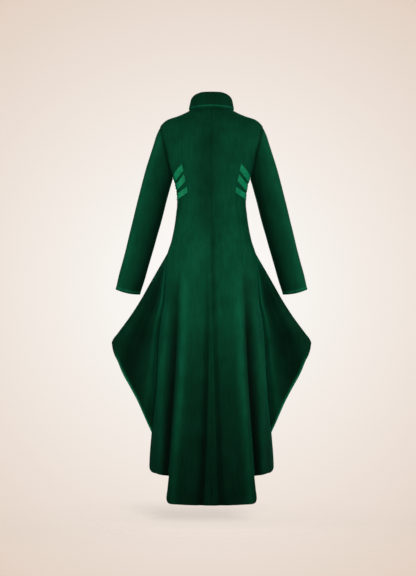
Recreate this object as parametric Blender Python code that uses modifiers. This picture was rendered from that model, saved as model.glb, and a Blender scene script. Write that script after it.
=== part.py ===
"""A floor-length redingote, filled out with no wearer inside.

Metres, +Z up. The front faces -Y and the wearer's left is +X. The origin is the
middle of the neck's base. The cloth pieces are thin slabs laid on one shared
surface, coat_point(turn, height, side): turn is 0 at the centre back, 90 degrees
at the side and 180 degrees at the centre front, and side is 1 or -1.
"""

import bmesh
import bpy
import numpy as np
from mathutils import Matrix

CLOTH = 0.0020
SEAM_GAP = 0.0003
BAND_THICK = 0.0012
BAND_LIFT = 0.0012
OVERLAP = 0.022
BUTTON_RADIUS = 0.011
BUTTON_THICK = 0.0040
BUTTON_LIFT = 0.0005

NECK_HEIGHT = 0.006
SHOULDER_SPLIT = -0.013
SHOULDER_TIP = -0.058
UNDERARM = -0.241
FLARE_START = -0.545
SIDE_HEM = -1.168
SIDE_BACK_HEM = -1.317
BACK_HEM = -1.418
FRONT_HEM = -0.826
SIDE_CORNER_START = 0.855
SIDE_CORNER_RISE = 0.035

# Horizontal sections of the coat, from the neck down to the back hem.
BODY_COLUMNS = ("height", "half_width", "back", "front", "roundness")
BODY = np.array([
    (0.006, 0.0780, 0.058, 0.058, 2.00),
    (0.000, 0.0880, 0.062, 0.062, 2.00),
    (-0.015, 0.1210, 0.068, 0.068, 2.05),
    (-0.029, 0.1610, 0.073, 0.075, 2.10),
    (-0.044, 0.1793, 0.077, 0.081, 2.20),
    (-0.058, 0.1885, 0.081, 0.087, 2.25),
    (-0.095, 0.1905, 0.089, 0.100, 2.35),
    (-0.135, 0.1850, 0.094, 0.113, 2.40),
    (-0.171, 0.1770, 0.096, 0.122, 2.40),
    (-0.204, 0.1630, 0.096, 0.126, 2.35),
    (-0.241, 0.1410, 0.093, 0.123, 2.30),
    (-0.277, 0.1303, 0.088, 0.112, 2.25),
    (-0.321, 0.1252, 0.081, 0.097, 2.20),
    (-0.365, 0.1287, 0.081, 0.092, 2.20),
    (-0.409, 0.1340, 0.087, 0.094, 2.20),
    (-0.467, 0.1455, 0.102, 0.103, 2.25),
    (-0.526, 0.1630, 0.117, 0.114, 2.30),
    (-0.600, 0.1695, 0.131, 0.127, 2.30),
    (-0.686, 0.1735, 0.145, 0.146, 2.30),
    (-0.759, 0.1870, 0.155, 0.160, 2.30),
    (-0.832, 0.1940, 0.165, 0.175, 2.30),
    (-0.978, 0.2010, 0.182, 0.200, 2.30),
    (-1.168, 0.2190, 0.200, 0.230, 2.30),
    (-1.270, 0.2268, 0.207, 0.242, 2.30),
    (-1.430, 0.2310, 0.217, 0.260, 2.30),
])

# How far the rows rise at the centre back and at the centre front.
LIFT_COLUMNS = ("height", "back", "front")
LIFT = np.array([
    (0.006, 0.007, -0.066),
    (-0.015, 0.002, -0.066),
    (-0.029, -0.003, -0.070),
    (-0.058, -0.006, -0.076),
    (-0.120, 0.000, -0.058),
    (-0.241, 0.000, 0.000),
])

# The fold that stands out at each side of the skirt: its edge and its hollow.
WING_COLUMNS = ("height", "edge_x", "edge_y", "hollow")
WING = np.array([
    (-0.505, 0.1565, 0.000, 0.000),
    (-0.526, 0.1670, 0.000, 0.001),
    (-0.569, 0.1920, -0.004, 0.006),
    (-0.628, 0.2260, -0.009, 0.012),
    (-0.686, 0.2590, -0.014, 0.018),
    (-0.745, 0.2970, -0.020, 0.023),
    (-0.803, 0.3398, -0.026, 0.027),
    (-0.832, 0.3608, -0.029, 0.029),
    (-0.847, 0.3670, -0.030, 0.029),
    (-0.950, 0.4300, -0.036, 0.030),
    (-1.200, 0.5800, -0.044, 0.030),
])
WING_ROUNDNESS = 2.6
WING_SHARE = 0.44
SIDE_TURN = np.radians(80.0)

# Height of the side front's hem, from the side seam to the edge of the fold.
WING_HEM_COLUMNS = ("share", "height")
WING_HEM = np.array([
    (0.000, -1.168),
    (0.064, -1.110),
    (0.144, -1.051),
    (0.280, -0.980),
    (0.481, -0.905),
    (0.800, -0.853),
    (1.000, -0.840),
])

# Distance of the shaping seams from the centre, at the back and at the front.
SEAM_COLUMNS = ("height", "back_x", "front_x")
SEAM = np.array([
    (-0.013, 0.1160, 0.1160),
    (-0.029, 0.1140, 0.1130),
    (-0.058, 0.1130, 0.1100),
    (-0.102, 0.1110, 0.1050),
    (-0.157, 0.1060, 0.0980),
    (-0.200, 0.1000, 0.0930),
    (-0.260, 0.0935, 0.0850),
    (-0.321, 0.0910, 0.0760),
    (-0.380, 0.0980, 0.0790),
    (-0.440, 0.1050, 0.0860),
    (-0.560, 0.1070, 0.1020),
    (-0.686, 0.1140, 0.1230),
    (-0.832, 0.1190, 0.1500),
    (-0.978, 0.1250, 0.1750),
    (-1.124, 0.1350, 0.2000),
    (-1.270, 0.1520, 0.2200),
    (-1.418, 0.1665, 0.2400),
])

# Back half of the armhole: its distance from the centre.
ARMHOLE_COLUMNS = ("height", "x")
ARMHOLE = np.array([
    (-0.0580, 0.1885),
    (-0.0635, 0.1862),
    (-0.0794, 0.1820),
    (-0.1038, 0.1775),
    (-0.1336, 0.1705),
    (-0.1654, 0.1630),
    (-0.1953, 0.1550),
    (-0.2196, 0.1475),
    (-0.2355, 0.1420),
    (-0.2410, 0.1410),
])
ARM_STEPS = 9

# The skirt's vertical folds: place from the centre, height of the fold, breadth.
FOLD_COLUMNS = ("height", "place", "depth", "breadth")
FOLDS = {
    "centre_left": np.array([
        (-0.560, 0.010, 0.000, 0.009),
        (-0.759, 0.013, -0.006, 0.009),
        (-1.051, 0.020, -0.010, 0.010),
        (-1.270, 0.027, -0.012, 0.011),
        (-1.416, 0.036, -0.012, 0.013),
    ]),
    "centre_right": np.array([
        (-0.560, 0.009, 0.000, 0.009),
        (-0.759, 0.011, -0.004, 0.009),
        (-1.051, 0.020, -0.007, 0.010),
        (-1.270, 0.027, -0.008, 0.011),
        (-1.416, 0.032, -0.008, 0.013),
    ]),
    "inner_ridge": np.array([
        (-0.560, 0.095, 0.000, 0.018),
        (-0.832, 0.104, 0.007, 0.018),
        (-0.978, 0.110, 0.009, 0.018),
        (-1.270, 0.133, 0.010, 0.017),
        (-1.416, 0.140, 0.009, 0.017),
    ]),
    "side_valley": np.array([
        (-0.540, 0.120, 0.000, 0.014),
        (-0.686, 0.125, -0.009, 0.014),
        (-0.832, 0.130, -0.017, 0.014),
        (-0.978, 0.138, -0.022, 0.015),
        (-1.124, 0.148, -0.024, 0.015),
        (-1.270, 0.159, -0.024, 0.015),
        (-1.416, 0.171, -0.022, 0.015),
    ]),
    "side_ridge": np.array([
        (-0.620, 0.155, 0.000, 0.015),
        (-0.759, 0.162, 0.007, 0.015),
        (-0.978, 0.182, 0.010, 0.015),
        (-1.270, 0.184, 0.010, 0.015),
        (-1.416, 0.186, 0.010, 0.015),
    ]),
}
FRONT_FOLDS = {
    "front_valley": np.array([
        (-0.480, 0.105, 0.000, 0.016),
        (-0.620, 0.130, -0.006, 0.018),
        (-0.830, 0.178, -0.014, 0.024),
        (-1.000, 0.210, -0.016, 0.028),
    ]),
    "front_ridge": np.array([
        (-0.520, 0.140, 0.000, 0.018),
        (-0.680, 0.182, 0.005, 0.022),
        (-0.830, 0.238, 0.011, 0.030),
        (-1.000, 0.280, 0.012, 0.034),
    ]),
}

# Collar, by turn in degrees: height of the top roll and of the fall's lower edge.
COLLAR_COLUMNS = ("turn", "top", "edge")
COLLAR = np.array([
    (0.0, 0.0698, 0.0190),
    (25.0, 0.0690, 0.0172),
    (45.0, 0.0642, 0.0148),
    (66.0, 0.0552, 0.0118),
    (90.0, 0.0428, 0.0085),
    (115.0, 0.0262, -0.0060),
    (140.0, 0.0050, -0.0330),
    (160.0, -0.0140, -0.0560),
    (176.0, -0.0240, -0.0640),
])
COLLAR_END = np.radians(176.5)
COLLAR_STEPS = 28

# Sleeve rings: outer and inner point of the outline, front to back centre and half depth.
SLEEVE_COLUMNS = ("outer_x", "outer_z", "inner_x", "inner_z", "centre_y", "half_depth")
SLEEVE = np.array([
    (0.1885, -0.058, 0.1410, -0.241, -0.006, 0.054),
    (0.2017, -0.088, 0.1430, -0.252, -0.004, 0.055),
    (0.2124, -0.122, 0.1465, -0.263, -0.003, 0.056),
    (0.2262, -0.165, 0.1508, -0.278, -0.003, 0.056),
    (0.2395, -0.207, 0.1569, -0.300, -0.004, 0.055),
    (0.2520, -0.253, 0.1649, -0.330, -0.005, 0.053),
    (0.2640, -0.300, 0.1739, -0.366, -0.006, 0.051),
    (0.2760, -0.347, 0.1849, -0.408, -0.008, 0.050),
    (0.2880, -0.397, 0.1969, -0.449, -0.010, 0.049),
    (0.3005, -0.447, 0.2089, -0.492, -0.013, 0.047),
    (0.3125, -0.497, 0.2214, -0.534, -0.017, 0.045),
    (0.3251, -0.545, 0.2334, -0.576, -0.021, 0.043),
    (0.3384, -0.592, 0.2453, -0.617, -0.025, 0.042),
    (0.3510, -0.648, 0.2620, -0.667, -0.030, 0.041),
])

# Side bands: distance of the back end's upper and lower corner from the centre, height
# of its middle, slope round to the side, height of the front end, and how tall it is.
BAND_COLUMNS = ("upper_x", "lower_x", "back", "slope", "front", "tall_back", "tall_side")
BANDS = np.array([
    (0.0990, 0.1020, -0.2145, -0.84, -0.270, 0.0200, 0.0205),
    (0.0945, 0.0955, -0.2470, -0.89, -0.303, 0.0225, 0.0235),
    (0.0875, 0.0875, -0.2870, -0.60, -0.337, 0.0205, 0.0225),
])
BAND_STEPS = 14

BUTTON_HEIGHTS = (-0.024, -0.096, -0.241, -0.315, -0.390, -0.465, -0.540)
BUTTON_SIDES = 12

VELVET = ("velvet", (0.010, 0.075, 0.055, 1.0), 0.9)
SATIN = ("satin_band", (0.030, 0.200, 0.130, 1.0), 0.5)
BUTTON = ("covered_button", (0.012, 0.085, 0.060, 1.0), 0.6)


def smooth_column(at, table, columns, name):
    """One column of a table at the values `at`, by monotone cubic pieces."""
    rows = table[np.argsort(table[:, 0])]
    knots = rows[:, 0]
    values = rows[:, columns.index(name)]
    steps = np.diff(knots)
    slopes = np.diff(values) / steps
    tangents = np.zeros(len(knots))
    tangents[0] = slopes[0]
    tangents[-1] = slopes[-1]
    same = slopes[:-1] * slopes[1:] > 0.0
    bend = np.where(same, slopes[:-1] + slopes[1:], 1.0)
    tangents[1:-1] = np.where(same, 2.0 * slopes[:-1] * slopes[1:] / bend, 0.0)
    at = np.clip(np.asarray(at, float), knots[0], knots[-1])
    i = np.clip(np.searchsorted(knots, at) - 1, 0, len(steps) - 1)
    t = (at - knots[i]) / steps[i]
    start = (2.0 * t - 3.0) * t * t + 1.0
    leave = ((t - 2.0) * t + 1.0) * t * steps[i]
    arrive = (t - 1.0) * t * t * steps[i]
    return start * values[i] + leave * tangents[i] + (1.0 - start) * values[i + 1] + arrive * tangents[i + 1]


def ease(value, low, high):
    """0 below low, 1 above high and a smooth step between them."""
    share = np.clip((value - low) / (high - low), 0.0, 1.0)
    return share * share * (3.0 - 2.0 * share)


def body(height, name):
    return smooth_column(height, BODY, BODY_COLUMNS, name)


def ring_share(turn, roundness):
    """Sideways and lengthways share of a superellipse at a turn from the back."""
    across = np.abs(np.sin(turn)) ** roundness
    along = np.abs(np.cos(turn)) ** roundness
    reach = (across + along) ** (-1.0 / roundness)
    return np.sin(turn) * reach, np.cos(turn) * reach


def fold_sum(folds, place, height):
    """Sum of soft folds, each a bell across the skirt that runs down it."""
    total = np.zeros(np.broadcast(place, height).shape)
    for fold in folds:
        middle = smooth_column(height, fold, FOLD_COLUMNS, "place")
        depth = smooth_column(height, fold, FOLD_COLUMNS, "depth")
        breadth = smooth_column(height, fold, FOLD_COLUMNS, "breadth")
        total = total + depth * np.exp(-(((place - middle) / breadth) ** 2))
    return total


def back_folds(place, height, side):
    centre = "centre_left" if side > 0 else "centre_right"
    names = (centre, "inner_ridge", "side_valley", "side_ridge")
    return fold_sum([FOLDS[name] for name in names], place, height)


def row_lift(turn, height):
    """How far a row rises above its own height, most at the centre back and front."""
    back = smooth_column(height, LIFT, LIFT_COLUMNS, "back")
    front = smooth_column(height, LIFT, LIFT_COLUMNS, "front")
    along = np.cos(turn)
    return np.where(along > 0.0, back, front) * along * along


def back_point(turn, height, side):
    """The back of the coat, from the centre back to the side."""
    x_share, y_share = ring_share(turn, body(height, "roundness"))
    x = body(height, "half_width") * x_share
    y = body(height, "back") * y_share
    fold = back_folds(np.abs(x), height, side)
    return x + 0.3 * fold * x_share, y + fold * y_share


def wing_point(share, height, side):
    """The back face of the side fold: share 0 at the side seam, 1 at the fold's edge."""
    seam_x, seam_y = back_point(np.full_like(height, SIDE_TURN), height, side)
    edge_x = smooth_column(height, WING, WING_COLUMNS, "edge_x")
    edge_y = smooth_column(height, WING, WING_COLUMNS, "edge_y")
    hollow = smooth_column(height, WING, WING_COLUMNS, "hollow")
    x_share, y_share = ring_share(share * np.pi / 2.0, WING_ROUNDNESS)
    ridge = 0.45 * np.exp(-(((x_share - 0.11) / 0.08) ** 2))
    valley = np.exp(-(((x_share - 0.45) / 0.20) ** 2))
    x = seam_x + (edge_x - seam_x) * x_share
    y = edge_y + (seam_y - edge_y) * y_share + hollow * (ridge - valley) * ease(share, 0.0, 0.05)
    return x, y


def front_point(turn, height):
    """The front of the coat, from the fold's edge to the centre front and past it."""
    x_share, y_share = ring_share(turn, 2.0 + 0.6 * (body(height, "roundness") - 2.0))
    flare = ease(-height, 0.505, 0.526)
    edge_x = smooth_column(height, WING, WING_COLUMNS, "edge_x")
    edge_y = smooth_column(height, WING, WING_COLUMNS, "edge_y") * flare
    half_width = body(height, "half_width") * (1.0 - flare) + edge_x * flare
    x = half_width * x_share
    fold = fold_sum(FRONT_FOLDS.values(), np.abs(x), height)
    y = edge_y + (body(height, "front") + edge_y) * y_share
    return x + 0.4 * fold * x_share, y + fold * y_share


def coat_point(turn, height, side):
    """A point of the coat's outside at a turn from the centre back and a height."""
    turn, height = np.broadcast_arrays(np.asarray(turn, float), np.asarray(height, float))
    back_x, back_y = back_point(np.minimum(turn, np.pi / 2.0), height, side)
    wing_x, wing_y = wing_point(np.clip((turn - SIDE_TURN) / (np.pi / 2.0 - SIDE_TURN), 0.0, 1.0), height, side)
    front_x, front_y = front_point(np.maximum(turn, np.pi / 2.0), height)
    flare = ease(-height, 0.505, 0.600)
    side_x = back_x + (wing_x - back_x) * flare
    side_y = back_y + (wing_y - back_y) * flare
    x = np.where(turn < SIDE_TURN, back_x, np.where(turn < np.pi / 2.0, side_x, front_x))
    y = np.where(turn < SIDE_TURN, back_y, np.where(turn < np.pi / 2.0, side_y, front_y))
    return np.stack([side * x, y, height + row_lift(turn, height)], axis=-1)


def coat_slopes(turn, height, side):
    """The surface's slope along the turn and along the height."""
    turn_step = np.radians(0.4)
    height_step = 0.002
    along_turn = coat_point(turn + turn_step, height, side) - coat_point(turn - turn_step, height, side)
    along_height = coat_point(turn, height + height_step, side) - coat_point(turn, height - height_step, side)
    return along_turn / (2.0 * turn_step), along_height / (2.0 * height_step)


def unit(vectors):
    return vectors / np.maximum(np.linalg.norm(vectors, axis=-1, keepdims=True), 1e-12)


def coat_normal(turn, height, side):
    along_turn, along_height = coat_slopes(turn, height, side)
    return unit(side * np.cross(along_height, along_turn))


def turn_at(x, height, back):
    """The turn at which a section is x from the centre."""
    roundness = body(height, "roundness")
    half_width = body(height, "half_width")
    if not back:
        flare = ease(-np.asarray(height), 0.505, 0.526)
        edge_x = smooth_column(height, WING, WING_COLUMNS, "edge_x")
        half_width = half_width * (1.0 - flare) + edge_x * flare
        roundness = 2.0 + 0.6 * (roundness - 2.0)
    across = np.clip(x / half_width, 0.0, 1.0)
    along = (1.0 - across**roundness) ** (1.0 / roundness)
    turn = np.arctan2(across, along)
    return turn if back else np.pi - turn


def seam_turn(height, back):
    """The turn of the shaping seam that runs from the shoulder to the hem."""
    name = "back_x" if back else "front_x"
    turn = turn_at(smooth_column(height, SEAM, SEAM_COLUMNS, name), height, back)
    at_shoulder = ease(height, SHOULDER_SPLIT - 0.006, SHOULDER_SPLIT)
    return turn + (np.pi / 2.0 - turn) * at_shoulder


def side_turn(height):
    """The turn of the side seam, which reaches the very side at the underarm."""
    rise = ease(height, UNDERARM - 0.07, UNDERARM)
    return SIDE_TURN + (np.pi / 2.0 - SIDE_TURN) * rise


def armhole_heights():
    """Heights down the armhole, from the shoulder tip to the underarm."""
    middle = (SHOULDER_TIP + UNDERARM) / 2.0
    half = (SHOULDER_TIP - UNDERARM) / 2.0
    return middle + half * np.cos(np.linspace(0.0, np.pi, ARM_STEPS + 1))


def armhole_turn(height, back):
    across = smooth_column(height, ARMHOLE, ARMHOLE_COLUMNS, "x")
    across = across / body(height, "half_width")
    roundness = body(height, "roundness")
    along = np.clip(1.0 - np.clip(across, 0.0, 1.0) ** roundness, 0.0, 1.0) ** (1.0 / roundness)
    turn = np.arctan2(across, along)
    turn[[0, -1]] = np.pi / 2.0
    return turn if back else np.pi - turn


def skirt_heights():
    """Shared heights along the side seam, from the side hem up to the underarm."""
    skirt = np.linspace(SIDE_HEM, FLARE_START, 14)[:-1]
    torso = np.linspace(FLARE_START, UNDERARM, 12)
    return np.concatenate([skirt, torso])


def back_heights():
    """Shared heights along the back seams, from the back hem up to the underarm."""
    tail = np.linspace(BACK_HEM, SIDE_BACK_HEM, 4)[:-1]
    lower = np.linspace(SIDE_BACK_HEM, SIDE_HEM, 5)[:-1]
    return np.concatenate([tail, lower, skirt_heights()])


def shoulder_heights():
    """Heights along a shaping seam, from the underarm up to the shoulder seam."""
    share = 1.0 - (1.0 - np.linspace(0.0, 1.0, ARM_STEPS + 1)) ** 2.2
    return UNDERARM + (SHOULDER_SPLIT - UNDERARM) * share


def inset(turn, height, side, left, right):
    """Move the first and last columns in by half a seam gap, a little more by the shoulder."""
    along_turn, _ = coat_slopes(turn, height, side)
    gap = SEAM_GAP * (1.0 + ease(height, -0.080, -0.040))
    shift = 0.5 * gap / np.linalg.norm(along_turn, axis=-1)
    turn = turn.copy()
    turn[:, 0] += left * shift[:, 0]
    turn[:, -1] -= right * shift[:, -1]
    return turn


def inset_top(turn, height, side, toward, corner):
    """Move the last row off the shoulder seam and its corner column off the shaping seam."""
    quarter = np.full(turn.shape[1], np.pi / 2.0)
    along_turn, along_height = coat_slopes(quarter, height[-1], side)
    turn = turn.copy()
    height = height.copy()
    turn[-1] = quarter + toward * 0.5 * SEAM_GAP / np.linalg.norm(along_turn, axis=-1)
    height[-1, corner] -= 0.5 * SEAM_GAP / np.linalg.norm(along_height[corner])
    return turn, height


def finish_object(name, shape, look):
    """Turn a bmesh into a named, smooth object with a material of its own."""
    mesh = bpy.data.meshes.new(name)
    shape.to_mesh(mesh)
    shape.free()
    mesh.shade_smooth()
    mesh.set_sharp_from_angle(angle=np.radians(40.0))
    mesh.materials.append(make_material(name, look))
    made = bpy.data.objects.new(name, mesh)
    bpy.data.collections["redingote"].objects.link(made)
    return made


def slab(name, outer, inner, look, wrap=False):
    """A grid bent to the outer points and extruded to the inner ones; a tube where wrap is true."""
    if wrap:
        outer = np.concatenate([outer, outer[:, :1]], axis=1)
        inner = np.concatenate([inner, inner[:, :1]], axis=1)
    rows, columns = outer.shape[:2]
    shape = bmesh.new()
    bmesh.ops.create_grid(shape, x_segments=columns - 1, y_segments=rows - 1, size=0.5)
    row_of = shape.verts.layers.int.new("row")
    column_of = shape.verts.layers.int.new("column")
    for vertex in shape.verts:
        vertex[column_of] = round((vertex.co.x + 0.5) * (columns - 1))
        vertex[row_of] = round((vertex.co.y + 0.5) * (rows - 1))
        vertex.co = outer[vertex[row_of], vertex[column_of]]
    if wrap:
        bmesh.ops.remove_doubles(shape, verts=list(shape.verts), dist=1e-6)
    grown = bmesh.ops.extrude_face_region(shape, geom=list(shape.faces))
    for item in grown["geom"]:
        if isinstance(item, bmesh.types.BMVert):
            item.co = inner[item[row_of], item[column_of]]
    bmesh.ops.recalc_face_normals(shape, faces=list(shape.faces))
    return finish_object(name, shape, look)


def cloth_piece(name, turn, height, side, sink=0.0):
    """A cloth panel on the coat's surface, moved inward by sink."""
    normal = coat_normal(turn, height, side)
    outer = coat_point(turn, height, side) - normal * np.asarray(sink)[..., None]
    return slab(name, outer, outer - normal * CLOTH, VELVET)


def round_corner(share, rise):
    """How far the hem rises toward the last column, as a rounded corner."""
    return rise * (1.0 - np.sqrt(1.0 - np.clip((share - 0.84) / 0.16, 0.0, 1.0) ** 2))


def side_corner(turn, share):
    """How far the side back's hem rises toward the side seam, ending in a quarter ellipse."""
    across = ring_share(turn, 2.3)[0] / ring_share(SIDE_TURN, 2.3)[0]
    corner = np.clip((across - SIDE_CORNER_START) / (1.0 - SIDE_CORNER_START), 0.0, 1.0)
    return 0.007 * ease(share, 0.0, 0.5) + SIDE_CORNER_RISE * (1.0 - np.sqrt(1.0 - corner**2))


def hem_rows(height, hem, count):
    """Bend the lower rows so that the first row follows the hem."""
    rows = len(height)
    fade = np.clip(1.0 - np.arange(rows) / count, 0.0, 1.0)
    return height + fade[:, None] * (hem - height[0])[None, :]


def make_back(side, label):
    """The centre back panel, from the hem to the neck and the shoulder seam."""
    share = np.array([0.0, 0.08, 0.17, 0.29, 0.43, 0.58, 0.72, 0.84, 0.93, 1.0])
    neck_rows = np.array([-0.006, 0.000, NECK_HEIGHT - 0.5 * SEAM_GAP])
    seam_rows = np.concatenate([back_heights(), shoulder_heights()[1:]])
    rows = np.concatenate([seam_rows, neck_rows])
    seam = np.concatenate([seam_turn(seam_rows, True), np.full(3, np.pi / 2.0)])
    height = np.repeat(rows[:, None], len(share), axis=1)
    height = hem_rows(height, BACK_HEM + 0.004 * share**2 + round_corner(share, 0.020), 3)
    turn = share[None, :] * seam[:, None]
    turn = inset(turn, height, side, 1.0, 1.0)
    return cloth_piece(f"back_{label}", turn, height, side)


def make_side_back(side, label):
    """The side back panel, from its own shorter hem to the armhole and the shoulder."""
    share = np.array([0.0, 0.14, 0.29, 0.44, 0.58, 0.72, 0.84, 0.93, 1.0])
    low = back_heights()[3:]
    left_height = np.concatenate([low, shoulder_heights()[1:]])
    right_height = np.concatenate([low, armhole_heights()[::-1][1:]])
    left = seam_turn(left_height, True)
    right = np.concatenate([side_turn(low), armhole_turn(armhole_heights(), True)[::-1][1:]])
    height = left_height[:, None] + (right_height - left_height)[:, None] * share
    turn = left[:, None] + (right - left)[:, None] * share
    height = hem_rows(height, SIDE_BACK_HEM + side_corner(turn[0], share), 4)
    turn = inset(turn, height, side, 1.0, 1.0)
    turn, height = inset_top(turn, height, side, -1.0, 0)
    return cloth_piece(f"side_back_{label}", turn, height, side)


def spread(share, first, last, height):
    """Turns from first to last, with more of them on the back of the side fold."""
    quarter = np.pi / 2.0
    natural = np.clip((quarter - first) / np.maximum(last - first, 1e-6), 0.0, 1.0)
    edge = natural + (WING_SHARE - natural) * ease(-height, 0.45, 0.62)
    near = first + (quarter - first) * share / np.maximum(edge, 1e-6)
    far = quarter + (last - quarter) * (share - edge) / (1.0 - edge)
    plain = first + (last - first) * share
    bent = np.where(share < edge, near, far)
    return np.where(first >= quarter - 1e-9, plain, bent)


def make_side_front(side, label):
    """The side front panel, which carries the skirt's side fold and its slanting hem."""
    near = np.linspace(0.0, WING_SHARE, 8)
    share = np.concatenate([near, np.linspace(WING_SHARE, 1.0, 9)[1:]])
    low = skirt_heights()
    left_height = np.concatenate([low, armhole_heights()[::-1][1:]])
    right_height = np.concatenate([np.linspace(FRONT_HEM, UNDERARM, len(low)), shoulder_heights()[1:]])
    left = np.concatenate([side_turn(low), armhole_turn(armhole_heights(), False)[::-1][1:]])
    right = seam_turn(right_height, False)
    height = left_height[:, None] + (right_height - left_height)[:, None] * share
    slant = smooth_column(share / WING_SHARE, WING_HEM, WING_HEM_COLUMNS, "height")
    level = WING_HEM[-1, 1] + (FRONT_HEM - WING_HEM[-1, 1]) * (share - WING_SHARE) / (1.0 - WING_SHARE)
    hem = np.where(share < WING_SHARE, slant, level)
    rows = np.arange(len(height)) / (len(low) - 1.0)
    fade = np.clip(1.0 - rows, 0.0, 1.0) ** 1.6
    height = height + fade[:, None] * (hem - height[0])[None, :]
    turn = spread(share[None, :], left[:, None], right[:, None], height)
    turn = inset(turn, height, side, 1.0, 1.0)
    turn, height = inset_top(turn, height, side, 1.0, -1)
    return cloth_piece(f"side_front_{label}", turn, height, side)


def make_front(side, label):
    """The front panel; the left one passes under the right one at the centre."""
    low = np.linspace(FRONT_HEM, UNDERARM, len(skirt_heights()))
    neck_rows = np.array([-0.006, 0.000, NECK_HEIGHT - 0.5 * SEAM_GAP])
    seam_rows = np.concatenate([low, shoulder_heights()[1:]])
    rows = np.concatenate([seam_rows, neck_rows])
    seam = np.concatenate([seam_turn(seam_rows, False), np.full(3, np.pi / 2.0)])
    near = turn_at(OVERLAP + 0.020, rows, False)
    mid = turn_at(OVERLAP + 0.005, rows, False)
    past = 2.0 * np.pi - turn_at(OVERLAP, rows, False)
    share = np.array([0.0, 0.27, 0.53, 0.77, 1.0])
    turn = seam[:, None] + (near - seam)[:, None] * share
    turn = np.concatenate([turn, np.stack([mid, np.full(len(rows), np.pi), past], axis=1)], axis=1)
    height = np.repeat(rows[:, None], turn.shape[1], axis=1)
    turn = inset(turn, height, side, 1.0, 0.0)
    under = np.array([0.0, 0.0, 0.0, 0.0, 0.0, 1.0, 1.0, 1.0])
    sink = np.broadcast_to(under * (CLOTH + 0.0005) * (side > 0), height.shape)
    return cloth_piece(f"front_{label}", turn, height, side, sink=sink)


def sleeve_rings(side):
    """Rings of points down a sleeve, the first one on the armhole."""
    heights = armhole_heights()
    back = coat_point(armhole_turn(heights, True), heights, side)
    front = coat_point(armhole_turn(heights, False), heights, side)
    armhole = np.concatenate([back, front[::-1][1:-1]])
    back_normal = coat_normal(armhole_turn(heights, True), heights, side)
    front_normal = coat_normal(armhole_turn(heights, False), heights, side)
    body_normal = np.concatenate([back_normal, front_normal[::-1][1:-1]])
    angle = np.linspace(0.0, 2.0 * np.pi, 2 * ARM_STEPS, endpoint=False)
    outer_x, outer_z, inner_x, inner_z, centre_y, half_depth = (SLEEVE[:, [i]] for i in range(6))
    x = (outer_x + inner_x) / 2.0 + (outer_x - inner_x) / 2.0 * np.cos(angle)
    y = centre_y + half_depth * np.sin(angle)
    z = (outer_z + inner_z) / 2.0 + (outer_z - inner_z) / 2.0 * np.cos(angle)
    z[-2:] -= np.array([[0.0015], [0.0050]]) * np.sin(angle) ** 2
    rings = np.stack([side * x, y, z], axis=-1)
    fade = np.clip(1.0 - np.arange(len(SLEEVE)) / 5.0, 0.0, 1.0) ** 1.4
    rings = rings + fade[:, None, None] * (armhole - rings[0])[None]
    rings[0] = rings[0] + np.array([side * 0.97, 0.0, -0.24]) * SEAM_GAP
    return rings, body_normal, angle


def make_sleeve(side, label):
    """A one-piece sleeve, open at the armhole and at the cuff."""
    rings, body_normal, angle = sleeve_rings(side)
    around = np.roll(rings, -1, axis=1) - np.roll(rings, 1, axis=1)
    down = np.gradient(rings, axis=0)
    normal = unit(side * np.cross(down, around))
    at_tip = ease(np.cos(angle), 0.0, 0.8)[:, None]
    normal[0] = unit(normal[0] * (1.0 - at_tip) + body_normal * at_tip)
    return slab(f"sleeve_{label}", rings, rings - normal * CLOTH, VELVET, wrap=True)


def collar_point(turn, reach, height):
    """A point of an oval ring around the neck, reach outside the neck's own oval."""
    half_width = 0.0700 + reach
    depth = 0.0500 + reach
    x_share, y_share = ring_share(turn, 2.0)
    return np.stack([half_width * x_share, depth * y_share, height], axis=-1)


def collar_height(turn, name):
    return smooth_column(np.degrees(np.abs(turn)), COLLAR, COLLAR_COLUMNS, name)


def make_collar_stand():
    """The upright band of the collar, open at the centre front."""
    turn = np.linspace(-COLLAR_END, COLLAR_END, COLLAR_STEPS + 1)
    low = NECK_HEIGHT + row_lift(turn, np.full_like(turn, NECK_HEIGHT)) + 2.0 * SEAM_GAP
    low = low + 0.0016 * ease(np.abs(turn), 2.5, 2.8)
    top = collar_height(turn, "top") - CLOTH
    outer = np.stack([
        collar_point(turn, 0.0080, low),
        collar_point(turn, 0.0035, low + 0.45 * (top - low)),
        collar_point(turn, 0.0010, top),
    ])
    inner = np.stack([
        collar_point(turn, 0.0080 - CLOTH, low),
        collar_point(turn, 0.0035 - CLOTH, low + 0.45 * (top - low)),
        collar_point(turn, 0.0010 - CLOTH, top),
    ])
    return slab("collar_stand", outer, inner, VELVET)


def make_collar_fall():
    """The turned-down part of the collar, hanging outside the stand."""
    turn = np.linspace(-COLLAR_END, COLLAR_END, COLLAR_STEPS + 1)
    top = collar_height(turn, "top")
    edge = collar_height(turn, "edge")
    outer = np.stack([
        collar_point(turn, -0.0010, top + 0.0006),
        collar_point(turn, 0.0035, top + 0.0003),
        collar_point(turn, 0.0062, top - 0.0050),
        collar_point(turn, 0.0100, 0.5 * (top + edge)),
        collar_point(turn, 0.0150, edge),
    ])
    inner = np.stack([
        collar_point(turn, -0.0010, top - CLOTH + SEAM_GAP),
        collar_point(turn, 0.0025, top - CLOTH + SEAM_GAP),
        collar_point(turn, 0.0040, top - 0.0055),
        collar_point(turn, 0.0078, 0.5 * (top + edge)),
        collar_point(turn, 0.0128, edge),
    ])
    return slab("collar_fall", outer, inner, VELVET)


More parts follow.
